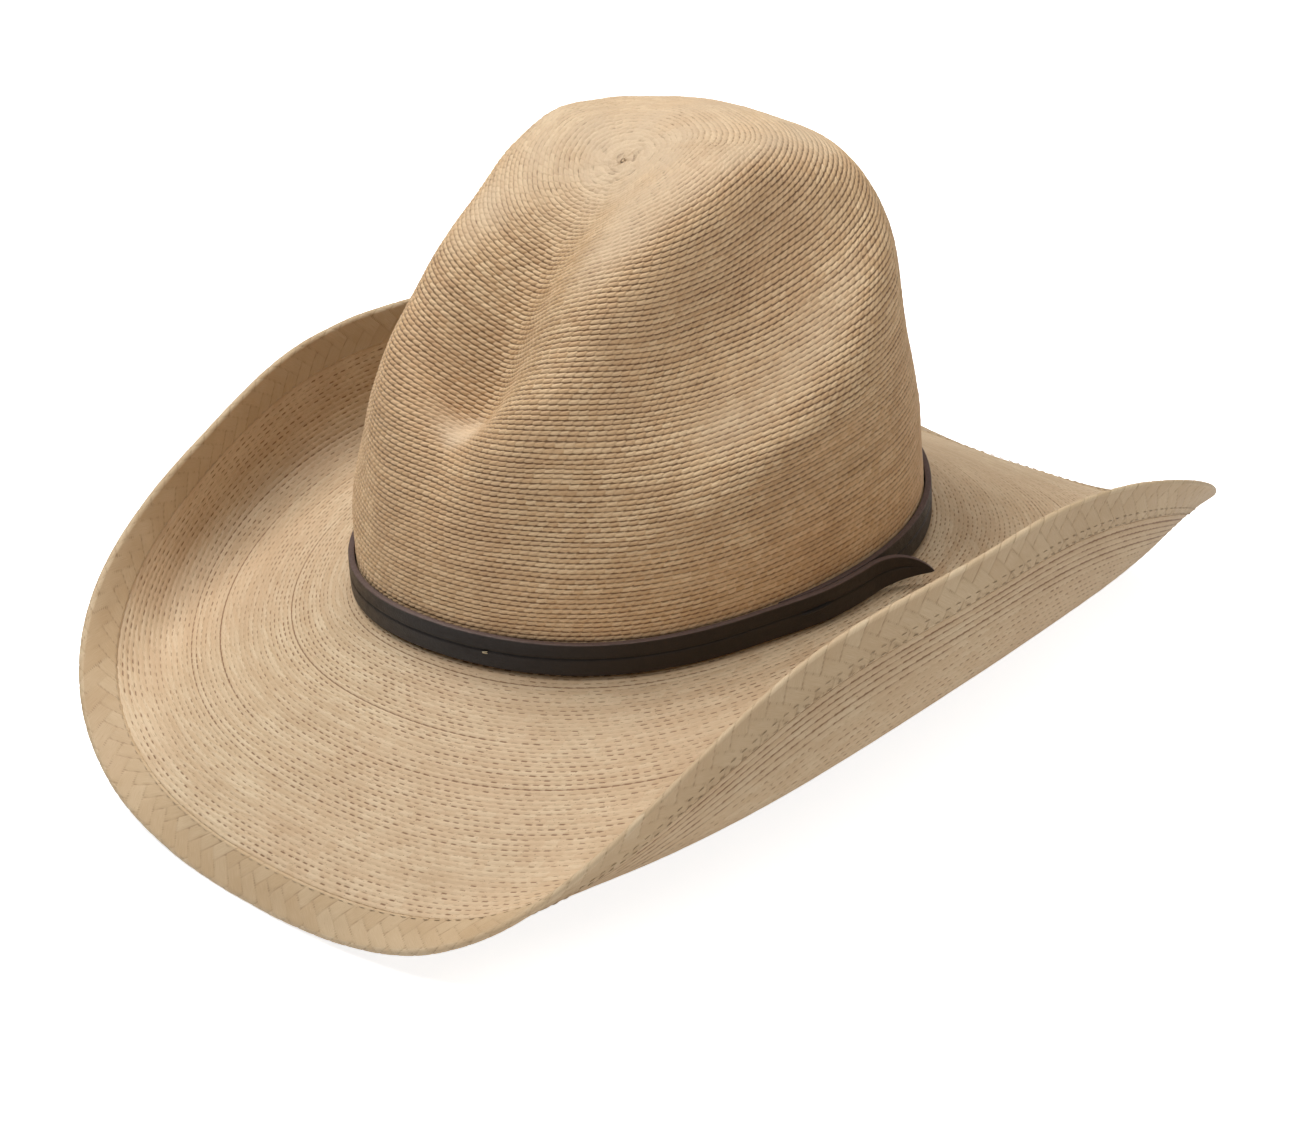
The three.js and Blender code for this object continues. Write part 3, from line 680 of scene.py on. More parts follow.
def edge_braid():
    columns = int(1800 * RES)
    angle = circle(columns)
    lines = brim_lines(angle)
    start = (1 - (EDGE_W - EDGE_GAP / 2 + 0.5) / lines[0])[:, None]
    flat_rings = 44 // 2
    # distance across: 0 at the braid's edge on top, round the folded rim, back to its edge
    # underneath
    full = 2 * EDGE_W + EDGE_T
    y = np.concatenate([np.linspace(0, EDGE_W - 1.5, flat_rings),
                        np.linspace(EDGE_W - 1.2, EDGE_W + 4.4, 12),
                        np.linspace(EDGE_W + 4.7, full, flat_rings)])
    fold_start, fold_length = EDGE_W - EDGE_T / 2, 2 * EDGE_T
    fold = (y - fold_start) / fold_length                                # 0..1 round the rim
    bend = math.pi * np.clip(fold, 0, 1)
    out = np.where(fold <= 0, y,
                   np.where(fold >= 1, full - y, fold_start + 1.35 * np.sin(bend)))
    place = start + (1 - start) * (out / (EDGE_W - EDGE_GAP / 2))
    points = brim_surface(angle, lines, place, (EDGE_T / 2 - 0.28) * np.cos(bend))
    dist, whole = arc(points)
    straws = 4 * round(whole[len(y) // 2] / EDGE_PITCH / 4)
    turn, share = (angle / PI2)[:, None], (y / full)[None, :]
    xa = dist / whole[None, :] * straws
    ya = y[None, :] / EDGE_PITCH + 0.03 * value_noise(turn, share, seed=12, cells=(60, 4))
    height, tone, mark, family = twill(xa + ya, xa - ya, 15)
    relief = 0.32 * height + 0.14 * value_noise(turn, share, seed=13, cells=(90, 6))
    lip = (smooth(0, 0.7, y) * smooth(full, full - 0.7, y))[None, :]     # both edges tuck in
    points = points + normals(points) * ((relief - 0.16) * lip - 0.55 * (1 - lip))[..., None]
    nj = len(y)
    quads, at_i, at_j = ring_faces(columns, nj, wrap_j=True, flip=True)
    uv = np.stack([at_i / columns, at_j / nj], -1).reshape(-1, 2)
    over = family > 0.5
    attrs = {
        "gap": mark.ravel(),
        "tone": tone.ravel(),
        # on the edge braid this tone follows the fold: the colour is darker on the flat faces and
        # lighter round the folded rim
        "row_and_fold_tone": np.tile(smooth(0.35, 0.5, np.abs(fold - 0.5)), columns),
        "inside": np.tile((y > full / 2).astype(float), columns),
        "fam": family.ravel(),
        "along": vec3(np.where(over, xa - ya, xa + ya) * 3, np.where(over, xa + ya, xa - ya) * 8,
                      family * 30).reshape(-1, 3),
        "pale": np.zeros(columns * nj),
    }
    return build("edge_braid", to_scene(points.reshape(-1, 3)), quads, None, attrs, uv)


# ------------------------------------------------------------------ strap section
INNER, ENDS, OUTER, FOOT = range(4)


def rounded(width, height, radius, counts):
    """Outline of a strap's section: offsets across and along, from the inner face's foot, and
    the face of each point. counts: points on the inner face, top and foot, outer face."""
    inner_count, end_count, outer_count = counts
    right, top = width - radius, height - radius
    sides = (                          # points, corner centre, corner start, tags
        (inner_count, (radius, top), 180, INNER, ENDS),
        (end_count, (right, top), 90, ENDS, ENDS),
        (outer_count, (right, radius), 0, OUTER, FOOT),
        (end_count, (radius, radius), -90, FOOT, FOOT),
    )
    points, tags = [(0.0, radius)], [INNER]
    for count, centre, start, side_tag, corner_tag in sides:
        turn = np.radians(np.linspace(start, start - 90, 6))
        corner = np.array(centre) + radius * np.stack([np.cos(turn), np.sin(turn)], 1)
        points += [*np.linspace(points[-1], corner[0], count)[1:], *corner[1:]]
        tags += [side_tag] * (count - 1) + [corner_tag] * 5
    return np.array(points[:-1]), np.array(tags[:-1])                    # the last meets the first


# ------------------------------------------------------------------ hatband
STRAP_Z0, STRAP_Z1, STRAP_T, STRAP_GAP = 2.0, 13.8, 2.2, 0.5
LAP_GAP = 0.3                          # between the two layers where they overlap
LAP_STEP = STRAP_T + LAP_GAP
FOOT_TRIM, TOP_TRIM = 0.2, 0.1         # taken off the strap's foot and top
STRAP_H = STRAP_Z1 - TOP_TRIM - (STRAP_Z0 + FOOT_TRIM)
# degrees round the hat: the under layer's thin end, the climb over it, the join with the tail,
# and where the tail leaves the crown
START, CLIMB, JOIN, LEAVE = 77.5, 72, 90.0, 98.0
SLIT_TURN, SLIT_LENGTH = 84.3, 12.5    # degrees round the hat, mm
TAIL_STRAIGHT, TAIL_CURVED, TAIL_BEND = 1.4, 25.0, 0.0358                # mm, mm, 1/mm
TAIL_ROOT = base_line(math.radians(LEAVE), STRAP_GAP + LAP_STEP + STRAP_T / 2)


def band_rise(angle):
    """The hand-tied strap isn't perfectly level."""
    return 0.22 * np.sin(angle * 3 + 1.2) + 0.15 * np.sin(angle * 7)


def band_stations(degrees):
    """Columns: inner face x, y, outward direction x, y, foot, top, thickness."""
    angle = np.radians(degrees)
    climb = smooth(360 + CLIMB, 360 + JOIN, degrees)
    x, y, nx, ny = base_line(angle, STRAP_GAP + LAP_STEP * climb)
    level, rise = saddle(angle), band_rise(angle)
    return np.stack([x, y, nx, ny, level + STRAP_Z0 + FOOT_TRIM + rise * 0.5,
                     level + STRAP_Z1 - TOP_TRIM + rise * 0.6, np.full_like(x, STRAP_T)], 1)


def strap_stations():
    """Stations once round the hat, and the angle of each in degrees."""
    n = int(760 * RES)
    degrees = START + (360 + JOIN - START) * np.arange(n + 1) / n
    stations = band_stations(degrees)
    # the under layer thins to nothing where the top one climbs over it
    thin = LAP_STEP * smooth(CLIMB, JOIN, degrees) - LAP_GAP
    stations[:, 6] = np.where(degrees < JOIN, thin, STRAP_T)
    return stations, degrees


def tail_stations():
    """Stations of the tail: a short run on the crown, then a free end that bends away."""
    n = int(24 * RES) + 2
    on_crown = band_stations(360 + JOIN + (LEAVE - JOIN) * np.arange(n + 1) / n)
    x, y, nx, ny = TAIL_ROOT
    tx, ty = -ny, nx
    s = np.linspace(0.35, TAIL_STRAIGHT + TAIL_CURVED, int(110 * RES))
    curved = np.maximum(s - TAIL_STRAIGHT, 0.0)
    turn = TAIL_BEND * curved
    ahead = np.where(s < TAIL_STRAIGHT, s, TAIL_STRAIGHT + np.sin(turn) / TAIL_BEND)
    out = (1 - np.cos(turn)) / TAIL_BEND
    px, py = x + tx * ahead + nx * out, y + ty * ahead + ny * out
    pnx, pny = nx * np.cos(turn) - tx * np.sin(turn), ny * np.cos(turn) - ty * np.sin(turn)
    f = curved / TAIL_CURVED
    top = STRAP_Z1 - 7.6 * f ** 3.2 - 1.2 * f
    foot = STRAP_Z0 + 2.2 * f ** 1.2
    end = np.maximum((f - 0.93) / 0.07, 0.0)                             # the rounded point
    close = 1 - (1 - np.sqrt(np.maximum(1 - end ** 2, 0.0))) * 0.92
    middle = (top + foot) / 2
    top, foot = middle + (top - middle) * close, middle + (foot - middle) * close
    thick = STRAP_T * (1 - 0.35 * smooth(0.55, 1.0, f)) * (1 - 0.5 * end ** 2)
    root = math.radians(LEAVE)
    level, rise = saddle(root), band_rise(root)
    free = np.stack([px - pnx * thick / 2, py - pny * thick / 2, pnx, pny,
                     level + foot + (FOOT_TRIM + rise * 0.5) * (1 - f),
                     level + top - TOP_TRIM + rise * 0.6 * (1 - f), thick], 1)
    return np.concatenate([on_crown, free])


def slit(dist, degrees, along_b, height, outer):
    """A short slit through the strap's face with one lip raised: push outwards, and painted shade in
    its groove.
    """
    centre = np.interp(360 + SLIT_TURN, degrees, dist)
    share = ((dist - centre) / SLIT_LENGTH)[:, None]
    depth = np.clip(1 - np.abs(share) * 2, 0, 1) ** 0.35 * outer
    line = 0.54 + 0.04 * share
    groove = np.exp(-((along_b - line) * height / 0.32) ** 2)
    lip = np.exp(-((along_b - line + 0.045) * height / 0.30) ** 2)
    return (-0.95 * groove + 0.55 * lip) * depth, groove * depth


def hatband_piece(tail=False):
    stations, degrees = strap_stations()
    dist = travelled(stations[:, :2])
    if tail:
        strap_length = dist[-1]
        stations = tail_stations()
        dist = travelled(stations[:, :2]) + strap_length
    x, y, nx, ny, foot, top, thick = (stations[:, k, None] for k in range(7))
    height = top - foot
    outline, tags = rounded(STRAP_T, STRAP_H, 0.42, (10, 3, 40))
    a, b = outline[:, 0] / STRAP_T, outline[:, 1] / STRAP_H
    far = dist[:, None]
    # the outer face is slightly crowned, with a scored line just above its middle
    front = smooth(0.75, 1.0, a)
    bulge = 0.10 * (1 - (2 * b - 1) ** 2) * front
    line = 0.535 + 0.012 * np.sin(far * 0.021) + 0.008 * np.sin(far * 0.083)
    fade = smooth(far[-1] - 3, far[-1] - 12, far) if tail else thick / STRAP_T
    score = np.exp(-((b - line) * height / 0.34) ** 2) * front * fade
    wear = 0.05 * np.sin(far * 0.31) + 0.04 * np.sin(far * 0.73 + 1)
    out = a * thick + bulge - 0.34 * score + wear * front * 0.3
    # the cut mask paints the scored line and the slit near-black: painted shade in the grooves
    cut = score
    if not tail:
        push, slit_shade = slit(dist, degrees, b, height, tags == OUTER)
        out = out + push
        cut = np.maximum(cut, slit_shade)
    co = to_scene(vec3(x + nx * out, y + ny * out, foot + b * height).reshape(-1, 3))
    count = len(stations)
    attrs = {
        "edge": np.tile(smooth(0.955, 0.985, b), count),
        "gap": cut.ravel(),
        "inside": np.tile((tags == INNER).astype(float), count),
        "along": vec3(far, outline[:, 1], outline[:, 0] * 3).reshape(-1, 3),
    }
    # strap and tail meet face to face, so neither is capped there
    quads, first, last = open_faces(count, len(outline))
    name, cap = ("hatband_leather_tail", last) if tail else ("hatband_leather", first)
    return build(name, co, quads[:, ::-1], cap[:, ::-1], attrs)


# ------------------------------------------------------------------ inside the hat
def wall_point(angle, off, z):
    """A place inside the crown's wall at height z; off is measured from its outer face."""
    angle, z, off = np.broadcast_arrays(angle, z, off)
    x, y, nx, ny = base_line(angle, off)
    low, high = np.full(angle.shape, 0.45), np.ones(angle.shape)
    for _ in range(26):
        middle = (low + high) / 2
        above = crown_point(angle, middle)[..., 2] > z
        low, high = np.where(above, middle, low), np.where(above, high, middle)
    p = crown_point(angle, high)
    foot = z <= saddle(angle) + 1.0
    return np.stack([np.where(foot, x, p[..., 0] + nx * off),
                     np.where(foot, y, p[..., 1] + ny * off), z], -1)


def leather_attrs(along):
    along = along.reshape(-1, 3)
    return {"along": along, "edge": np.zeros(len(along)), "gap": np.zeros(len(along))}


def sweatband():
    """A leather band inside the wall, its two ends meeting at +Y."""
    thick = 1.2
    gap = 0.35 / (CROWN_B - 5)
    angle = np.linspace(math.pi + gap, 3 * math.pi - gap, int(420 * RES))[:, None]
    outline, _ = rounded(thick, 36.9, 0.4, (26, 2, 40))
    across = outline[:, 0]
    z = -0.9 + outline[:, 1]
    wave = 0.35 * np.sin(6 * angle) + 0.25 * np.sin(11 * angle + 1)
    groove = 0.10 * np.exp(-((z - 1.3) / 0.8) ** 2)
    bead = 0.14 * np.exp(-((z - 33.6) / 0.35) ** 2) + 0.10 * np.exp(-((z - 32.4) / 0.3) ** 2)
    off = (-4.0 - thick + across - smooth(20, 36, z) * (0.25 + 0.25 * wave)
           + (bead - groove) * (across < 0.4))
    along = vec3(angle * 98, z, across)
    return build("sweatband_leather", *capped(wall_point(angle, off, z)), leather_attrs(along))


TAPE_OUTER, TAPE_INNER = -2.9, -6.9    # offsets of the tape's two faces from the crown's foot


def tape():
    """A cloth channel folded under the sweatband's lower edge."""
    outline = [(TAPE_OUTER, -4.5), (TAPE_OUTER, 5.0), (-3.5, 5.0), (-3.5, -3.9), (-6.3, -3.9),
               (-6.3, 3.0), (TAPE_INNER, 3.0), (TAPE_INNER, -4.5)]
    points = []
    for a, b in zip(outline, outline[1:] + outline[:1]):
        steps = max(2, int(math.dist(a, b) / 0.5))
        for f in np.arange(steps) / steps:
            points.append((a[0] + (b[0] - a[0]) * f, a[1] + (b[1] - a[1]) * f))
    across, z = np.array(points).T
    angle = circle(int(700 * RES))[:, None]
    pucker = 0.05 * np.sin(160 * angle) * (z > -4.49)
    ripple = 0.12 * np.sin(97 * angle) * smooth(-4, 0, z) * (across < -6.5)
    x, y, _, _ = base_line(angle, across + ripple + pucker * 0.5)
    sections = vec3(x, y, z + (z > 2.5) * 0.08 * np.sin(60 * angle))
    along = vec3(angle * 96, z, across).reshape(-1, 3)
    return closed_sweep("reed_tape_cloth", sections, {"along": along})


def reed():
    """A round cord in the tape's channel."""
    radius = 0.95
    turn = circle(12)
    off = (TAPE_OUTER + TAPE_INNER) / 2 + radius * np.cos(turn)
    x, y, _, _ = base_line(circle(int(600 * RES))[:, None], off)
    return closed_sweep("reed_cord", vec3(x, y, -2.55 + radius * np.sin(turn)))


def on_band(name, middle, half, z0, z1, back, front, counts, pillow, wave=0.0):
    """A small sheet on the sweatband's inner face: half mm each side of the angle middle,
    between offsets back and front. counts: points round the hat and up."""
    u = np.linspace(-1, 1, counts[0])[:, None]
    up = np.linspace(0, 1, counts[1])
    b = np.concatenate([up, up[::-1]])
    base = np.repeat([back, front], counts[1])
    z = z0 + (z1 - z0) * b
    rim = np.minimum((1 - np.abs(u)) / 0.12, 1.0)
    rim_z = np.clip(np.minimum(b, 1 - b) / 0.06, 0, 1)
    puff = (rim * rim_z) ** 0.5
    swell = 0.12 * (1 - puff) - pillow * puff - wave * np.sin(u * 7) * 0.5
    off = base + swell * (base == front)
    sections = wall_point(middle + u * half / 84.0, off, z)              # 84: wall's radius here
    return build(name, *capped(sections), leather_attrs(vec3(u * half, z, base)))


def bow():
    """Ribbon bow at +Y: two soft loops and a knot, in one mesh."""
    y0, z0 = CROWN_A - 7.9 - 0.8, 10.5
    turn = circle(24)
    f = np.linspace(0, 1, 26)[:, None]
    tall = 1.4 + 2.4 * np.sin(np.minimum(f * 1.1, 1) * math.pi / 2) - 0.8 * f ** 4
    puff = 0.95 * np.sin(math.pi * np.clip(f, 0.03, 0.97)) ** 0.6
    fold = 0.10 * np.sin(5 * turn + 3 * f)
    loop_y = y0 + (0.30 + puff) * np.cos(turn) * 0.62 + fold * 0.5
    loops = [vec3(side * (1.2 + 9.8 * f), loop_y, z0 + tall * np.sin(turn)) for side in (-1, 1)]
    f = np.linspace(-1, 1, 10)[:, None]
    full = 0.75 + 0.25 * np.sqrt(np.maximum(1 - f * f, 0.03))
    knot = vec3(1.7 * np.cos(turn) * full, y0 + 0.95 * np.sin(turn), z0 + 2.0 * f)
    points, quads, tris, base = [], [], [], 0
    for sections in loops + [knot]:
        co, part_quads, part_tris = capped(sections)
        points.append(co)
        quads.append(part_quads + base)
        tris.append(part_tris + base)
        base += len(co)
    co = np.concatenate(points)
    return build("sweatband_bow_ribbon", co, np.concatenate(quads), np.concatenate(tris),
                 {"along": co * 1000})


# ------------------------------------------------------------------ threads
def tube(points, radius, sides=8):
    """Sections of a thread along a path, narrowing at both ends."""
    path = np.gradient(points, axis=0)
    path /= np.maximum(np.linalg.norm(path, axis=1, keepdims=True), 1e-9)
    a = np.cross(path, [0, 0, 1.0])
    a /= np.maximum(np.linalg.norm(a, axis=1, keepdims=True), 1e-9)
    b = np.cross(path, a)
    f = np.linspace(0, 1, len(points))
    r = radius * np.sin(np.clip(f, 0.03, 0.97) * math.pi) ** 0.35
    turn = circle(sides)[None, :, None]
    ring = a[:, None, :] * np.cos(turn) + b[:, None, :] * np.sin(turn)
    return points[:, None, :] + ring * r[:, None, None]


def many(name, tubes):
    """One mesh from many tubes of the same shape: (count, stations, sides, 3)."""
    tubes = np.array(tubes)
    count, ni, nj = tubes.shape[:3]
    _, quads, tris = capped(tubes[0])
    shift = (np.arange(count) * ni * nj)[:, None, None]
    along = np.tile(vec3(np.arange(ni)[:, None] * 0.6, np.arange(nj) * 0.4, 0.0).reshape(-1, 3),
                    (count, 1))
    return build(name, to_scene(tubes.reshape(-1, 3)), (quads[None] + shift).reshape(-1, 4),
                 (tris[None] + shift).reshape(-1, 3), {"along": along})


def stitches():
    """One ring of stitches through the tape's inner face."""
    count = 214
    half = PI2 / count * 0.36
    lift = np.sin(np.linspace(0, math.pi, 9))
    out = []
    for k, jitter in enumerate(hashed(np.arange(count), 1, 3)):
        middle = PI2 * (k + 0.5) / count
        x, y, _, _ = base_line(np.linspace(middle - half, middle + half, 9), -7.05 - 0.42 * lift)
        z = 1.3 + 0.10 * (jitter - 0.5) + np.linspace(-0.12, 0.12, 9)
        out.append(tube(np.stack([x, y, z], 1), 0.24))
    return many("sweatband_stitches", out)


def braid_sewing():
    """Rows of short stitches that hold the edge braid, on both faces."""
    rows = [(-1, 0.9), (-1, 3.4), (1, 1.1)]                              # side, inset in mm
    angle = circle(1440)
    lines = brim_lines(angle)
    out = []
    for side, inset in rows:
        place = (1 - (EDGE_W - inset) / lines[0])[:, None]
        line = brim_surface(angle, lines, place, side * (EDGE_T / 2 + 0.06))[:, 0]
        line = np.concatenate([line, line[:1]])
        dist = travelled(line)
        count = int(dist[-1] / 4.4)
        for k, jitter in enumerate(hashed(np.arange(count), side + 3, 8)):
            middle = dist[-1] * (k + 0.5 + 0.2 * (jitter - 0.5)) / count
            at = np.linspace(middle - 1.05, middle + 1.05, 6)
            points = np.stack([np.interp(at, dist, line[:, n]) for n in range(3)], 1)
            out.append(tube(points, 0.16, sides=6))
    return many("edge_braid_thread", out)


def tack():
    """Two short stitches on the hatband's outer face, 20 degrees from -Y."""
    angle = math.radians(20)
    x, y, nx, ny = base_line(angle, STRAP_GAP + STRAP_T + 0.42)
    z = float(saddle(angle)) + 7.8
    f = np.linspace(-1, 1, 9)
    lift = 0.22 * (1 - f ** 2)
    out = []
    for dz, slope in ((0.22, 0.10), (-0.22, -0.06)):
        points = [x - ny * f * 0.95 + nx * lift, y + nx * f * 0.95 + ny * lift, z + dz + slope * f]
        out.append(tube(np.stack(points, 1), 0.2))
    return many("hatband_tack_thread", out)


# ------------------------------------------------------------------ materials
def linear(colour):
    """Linear values of an sRGB colour given as 0..255."""
    return tuple(c / 12.92 if c <= 0.04045 else ((c + 0.055) / 1.055) ** 2.4
                 for c in (v / 255.0 for v in colour))


class Paint:
    """A Principled material and short ways to add nodes to it. Colours are sRGB, 0..255."""

    def __init__(self, name):
        self.material = bpy.data.materials.new(name)
        self.material.use_nodes = True
        self.tree = self.material.node_tree
        self.shader = self.tree.nodes["Principled BSDF"]

    def put(self, socket, value):
        if isinstance(value, bpy.types.NodeSocket):
            self.tree.links.new(value, socket)
        elif socket.type == "RGBA":
            socket.default_value = (*linear(value), 1)
        else:
            socket.default_value = value

    def node(self, kind, inputs=(), **settings):
        """A node of the kind with its settings, and (input, value) pairs put in."""
        n = self.tree.nodes.new("ShaderNode" + kind)
        for key, value in settings.items():
            setattr(n, key, value)
        for key, value in inputs:
            self.put(n.inputs[key], value)
        return n.outputs

    def attr(self, name):
        return self.node("Attribute", attribute_name=name)["Fac"]

    def along(self):
        return self.node("Attribute", attribute_name="along")["Vector"]

    def place(self):
        return self.node("TexCoord")["Object"]

    def math(self, operation, a, b):
        return self.node("Math", enumerate((a, b, 0.0)), operation=operation)[0]

    def scaled(self, vector, scale, move=(0, 0, 0)):
        return self.node("Mapping", (("Vector", vector), ("Scale", scale), ("Location", move)))[0]

    def noise(self, vector, scale=1.0, detail=3.0, rough=0.55, warp=0.0):
        return self.node("TexNoise", (
            ("Vector", vector), ("Scale", scale), ("Detail", detail), ("Roughness", rough),
            ("Distortion", warp)))[0]

    def range(self, value, low, high, out_low=0.0, out_high=1.0):
        return self.node("MapRange", enumerate((value, low, high, out_low, out_high)),
                         clamp=True, interpolation_type="SMOOTHSTEP")[0]

    def mix(self, share, a, b):
        return self.node("Mix", (), data_type="RGBA", clamp_factor=True), share, a, b

    def mix(self, share, a, b):
        n = self.tree.nodes.new("ShaderNodeMix")
        n.data_type, n.clamp_factor = "RGBA", True
        for key, value in ((0, share), (6, a), (7, b)):                  # factor, colours A and B
            self.put(n.inputs[key], value)
        return n.outputs[2]

    def tint(self, base, colour, value, low, high, share):
        """Lays colour over base, up to share, as value goes from low to high."""
        mask = self.range(value, low, high)
        return self.mix(self.math("MULTIPLY", mask, share), base, colour)

    def bump(self, height, strength, distance):
        return self.node("Bump", (("Strength", strength), ("Distance", distance),
                                  ("Height", height)))["Normal"]

    def finish(self, colour, rough, normal=None, spec=0.35, sheen=0.0):
        inputs = {"Base Color": colour, "Roughness": rough, "Specular IOR Level": spec,
                  "Sheen Weight": sheen}
        if normal is not None:
            inputs["Normal"] = normal
        for key, value in inputs.items():
            self.put(self.shader.inputs[key], value)
        return self.material


def straw(name, pale, mid, dark, speck_and_gap_shade, gap_shade_share, warm, under=None, pale_and_sheen_up=None, streak=0.5,
          rough=0.62, speck=0.55):
    """Palm straw: per-stitch tone, fibre streaks, painted shade between rows and stitches, soft patches
    and a few spots.
    """
    p = Paint(name)
    place, along = p.place(), p.along()
    tone, gap, row_tone = p.attr("tone"), p.attr("gap"), p.attr("row_and_fold_tone")
    fibre = p.noise(p.scaled(along, (0.35, 5.5, 1)), detail=4, rough=0.6)
    fleck = p.noise(p.scaled(along, (0.9, 2.2, 1), (7, 3, 0)), detail=2, rough=0.5)
    patches = p.noise(place, scale=14, detail=3, rough=0.5, warp=0.4)
    blotches = p.noise(place, scale=60, detail=3, rough=0.6)
    c = p.mix(p.range(tone, 0.0, 1.0), mid, pale)
    c = p.tint(c, dark, row_tone, low=0.45, high=1.0, share=0.35)
    c = p.tint(c, dark, fibre, low=0.42, high=0.70, share=streak)
    c = p.tint(c, pale, fibre, low=0.48, high=0.28, share=streak * 0.7)
    c = p.tint(c, warm, patches, low=0.35, high=0.72, share=0.42)
    c = p.tint(c, dark, blotches, low=0.40, high=0.75, share=0.30)
    c = p.tint(c, speck_and_gap_shade, fleck, low=0.70 - 0.08 * speck, high=0.84 - 0.08 * speck, share=speck)
    # paler where the crown faces up and at the rosette: partly the straw's own paleness, partly a
    # painted sheen
    if pale_and_sheen_up is not None:
        c = p.mix(p.math("MULTIPLY", p.attr("pale"), 0.60), c, pale_and_sheen_up)
    if under is not None:
        c = p.mix(p.math("MULTIPLY", p.attr("inside"), 0.75), c, p.mix(0.5, c, under))
    # painted shade from the gap attribute: between rows and stitches, and where straws cross
    c = p.tint(c, speck_and_gap_shade, gap, low=0.18, high=0.85, share=gap_shade_share)
    grain = p.math("ADD", p.math("MULTIPLY", fibre, 1.0), p.math("MULTIPLY", fleck, 0.5))
    uneven = p.math("ADD", fibre, p.math("MULTIPLY", tone, 0.3))
    return p.finish(c, rough=p.range(uneven, 0.3, 1.0, rough - 0.10, rough + 0.14),
                    normal=p.bump(grain, strength=0.55, distance=0.00014), spec=0.32, sheen=0.04)


def leather(name, base, light, dark, rough, grain, spec=0.45, edge=None, cut=None):
    """Grained leather; edge colours the strap's upper edge, and cut is painted shade in its scored line
    and slit.
    """
    p = Paint(name)
    place, along = p.place(), p.along()
    pores = p.node("TexVoronoi", (("Vector", place), ("Scale", grain)),
                   feature="DISTANCE_TO_EDGE")["Distance"]
    broad = p.noise(place, scale=35, detail=4, rough=0.6)
    fine = p.noise(place, scale=420, detail=4, rough=0.65)
    rub = p.noise(p.scaled(along, (0.05, 0.5, 1)), detail=3, rough=0.6)
    c = p.tint(base, light, broad, low=0.35, high=0.7, share=0.6)
    c = p.tint(c, dark, fine, low=0.5, high=0.75, share=0.5)
    c = p.tint(c, light, rub, low=0.55, high=0.8, share=0.35)
    if edge is not None:
        worn = p.range(p.noise(p.scaled(along, (0.8, 1, 1))), 0.2, 0.6, 0.6, 1.0)
        c = p.mix(p.math("MULTIPLY", p.attr("edge"), worn), c, edge)
    # painted shade in the scored line and the slit
    if cut is not None:
        c = p.mix(p.range(p.attr("gap"), 0.25, 0.9), c, cut)
    height = p.math("ADD", p.math("MULTIPLY", p.range(pores, 0.0, 0.16), 0.6),
                    p.math("MULTIPLY", fine, 0.6))
    uneven = p.math("ADD", fine, p.math("MULTIPLY", rub, 0.6))
    return p.finish(c, rough=p.range(uneven, 0.4, 1.2, rough + 0.12, rough - 0.08),
                    normal=p.bump(height, strength=0.5, distance=0.00012), spec=spec)


def cloth(name, base, dark, rough=0.8):
    """A plain weave of two crossing sets of waves."""
    p = Paint(name)
    along, place = p.along(), p.place()
    waves = []
    for axis, scale, squeeze in (("X", 2.2, (1, 0.001, 0.001)), ("Y", 2.6, (0.001, 1, 0.001))):
        inputs = (("Vector", p.scaled(along, squeeze)), ("Scale", scale))
        waves.append(p.node("TexWave", inputs, bands_direction=axis)[1])
    weave = p.math("ADD", *waves)
    patches = p.noise(place, scale=120)
    c = p.mix(p.range(weave, 0.2, 1.4), dark, base)
    c = p.tint(c, dark, patches, low=0.45, high=0.75, share=0.4)
    return p.finish(c, rough=p.range(patches, 0.3, 0.8, rough - 0.1, rough + 0.08),
                    normal=p.bump(weave, strength=0.6, distance=0.0001), spec=0.25, sheen=0.25)


def shiny(name, base, dark, rough):
    p = Paint(name)
    patches = p.noise(p.place(), scale=200)
    return p.finish(p.mix(p.range(patches, 0.4, 0.7), base, dark),
                    rough=p.range(patches, 0.3, 0.8, rough, rough + 0.12),
                    normal=p.bump(patches, strength=0.3, distance=0.00005), spec=0.4)


STRAW_CROWN = straw(
    "straw_crown", pale=(231, 201, 160), mid=(214, 179, 136), dark=(180, 142, 103),
    speck_and_gap_shade=(98, 66, 40), gap_shade_share=0.77, warm=(210, 169, 127), under=(190, 150, 105),
    pale_and_sheen_up=(207, 187, 160))
STRAW_BRIM = straw(
    "straw_brim", pale=(221, 199, 166), mid=(210, 183, 148), dark=(186, 154, 118),
    speck_and_gap_shade=(120, 82, 52), gap_shade_share=0.88, warm=(206, 174, 140), under=(190, 160, 124),
    streak=0.45, speck=0.9)
STRAW_EDGE = straw(
    "straw_edge", pale=(216, 194, 161), mid=(203, 177, 142), dark=(178, 147, 109),
    speck_and_gap_shade=(142, 110, 78), gap_shade_share=0.50, warm=(200, 170, 132), rough=0.55)
BAND = leather("band_leather", base=(34, 26, 21), light=(46, 37, 31), dark=(20, 15, 12),
               rough=0.46, grain=900, spec=0.35, edge=(104, 86, 80), cut=(10, 7, 6))
SWEAT = leather("sweat_leather", base=(120, 84, 56), light=(142, 104, 72), dark=(84, 56, 36),
                rough=0.40, grain=650)
PATCH = leather("patch_leather", base=(98, 66, 44), light=(120, 84, 58), dark=(70, 46, 30),
                rough=0.45, grain=800)
TAPE = cloth("tape", base=(86, 66, 50), dark=(48, 36, 28))
RIBBON = cloth("ribbon", base=(96, 70, 50), dark=(58, 40, 28), rough=0.55)
THREAD = cloth("thread", base=(226, 208, 172), dark=(176, 150, 112))
TAG = cloth("tag", base=(236, 230, 216), dark=(206, 198, 180), rough=0.7)
REED = shiny("reed", base=(232, 226, 206), dark=(206, 196, 170), rough=0.3)
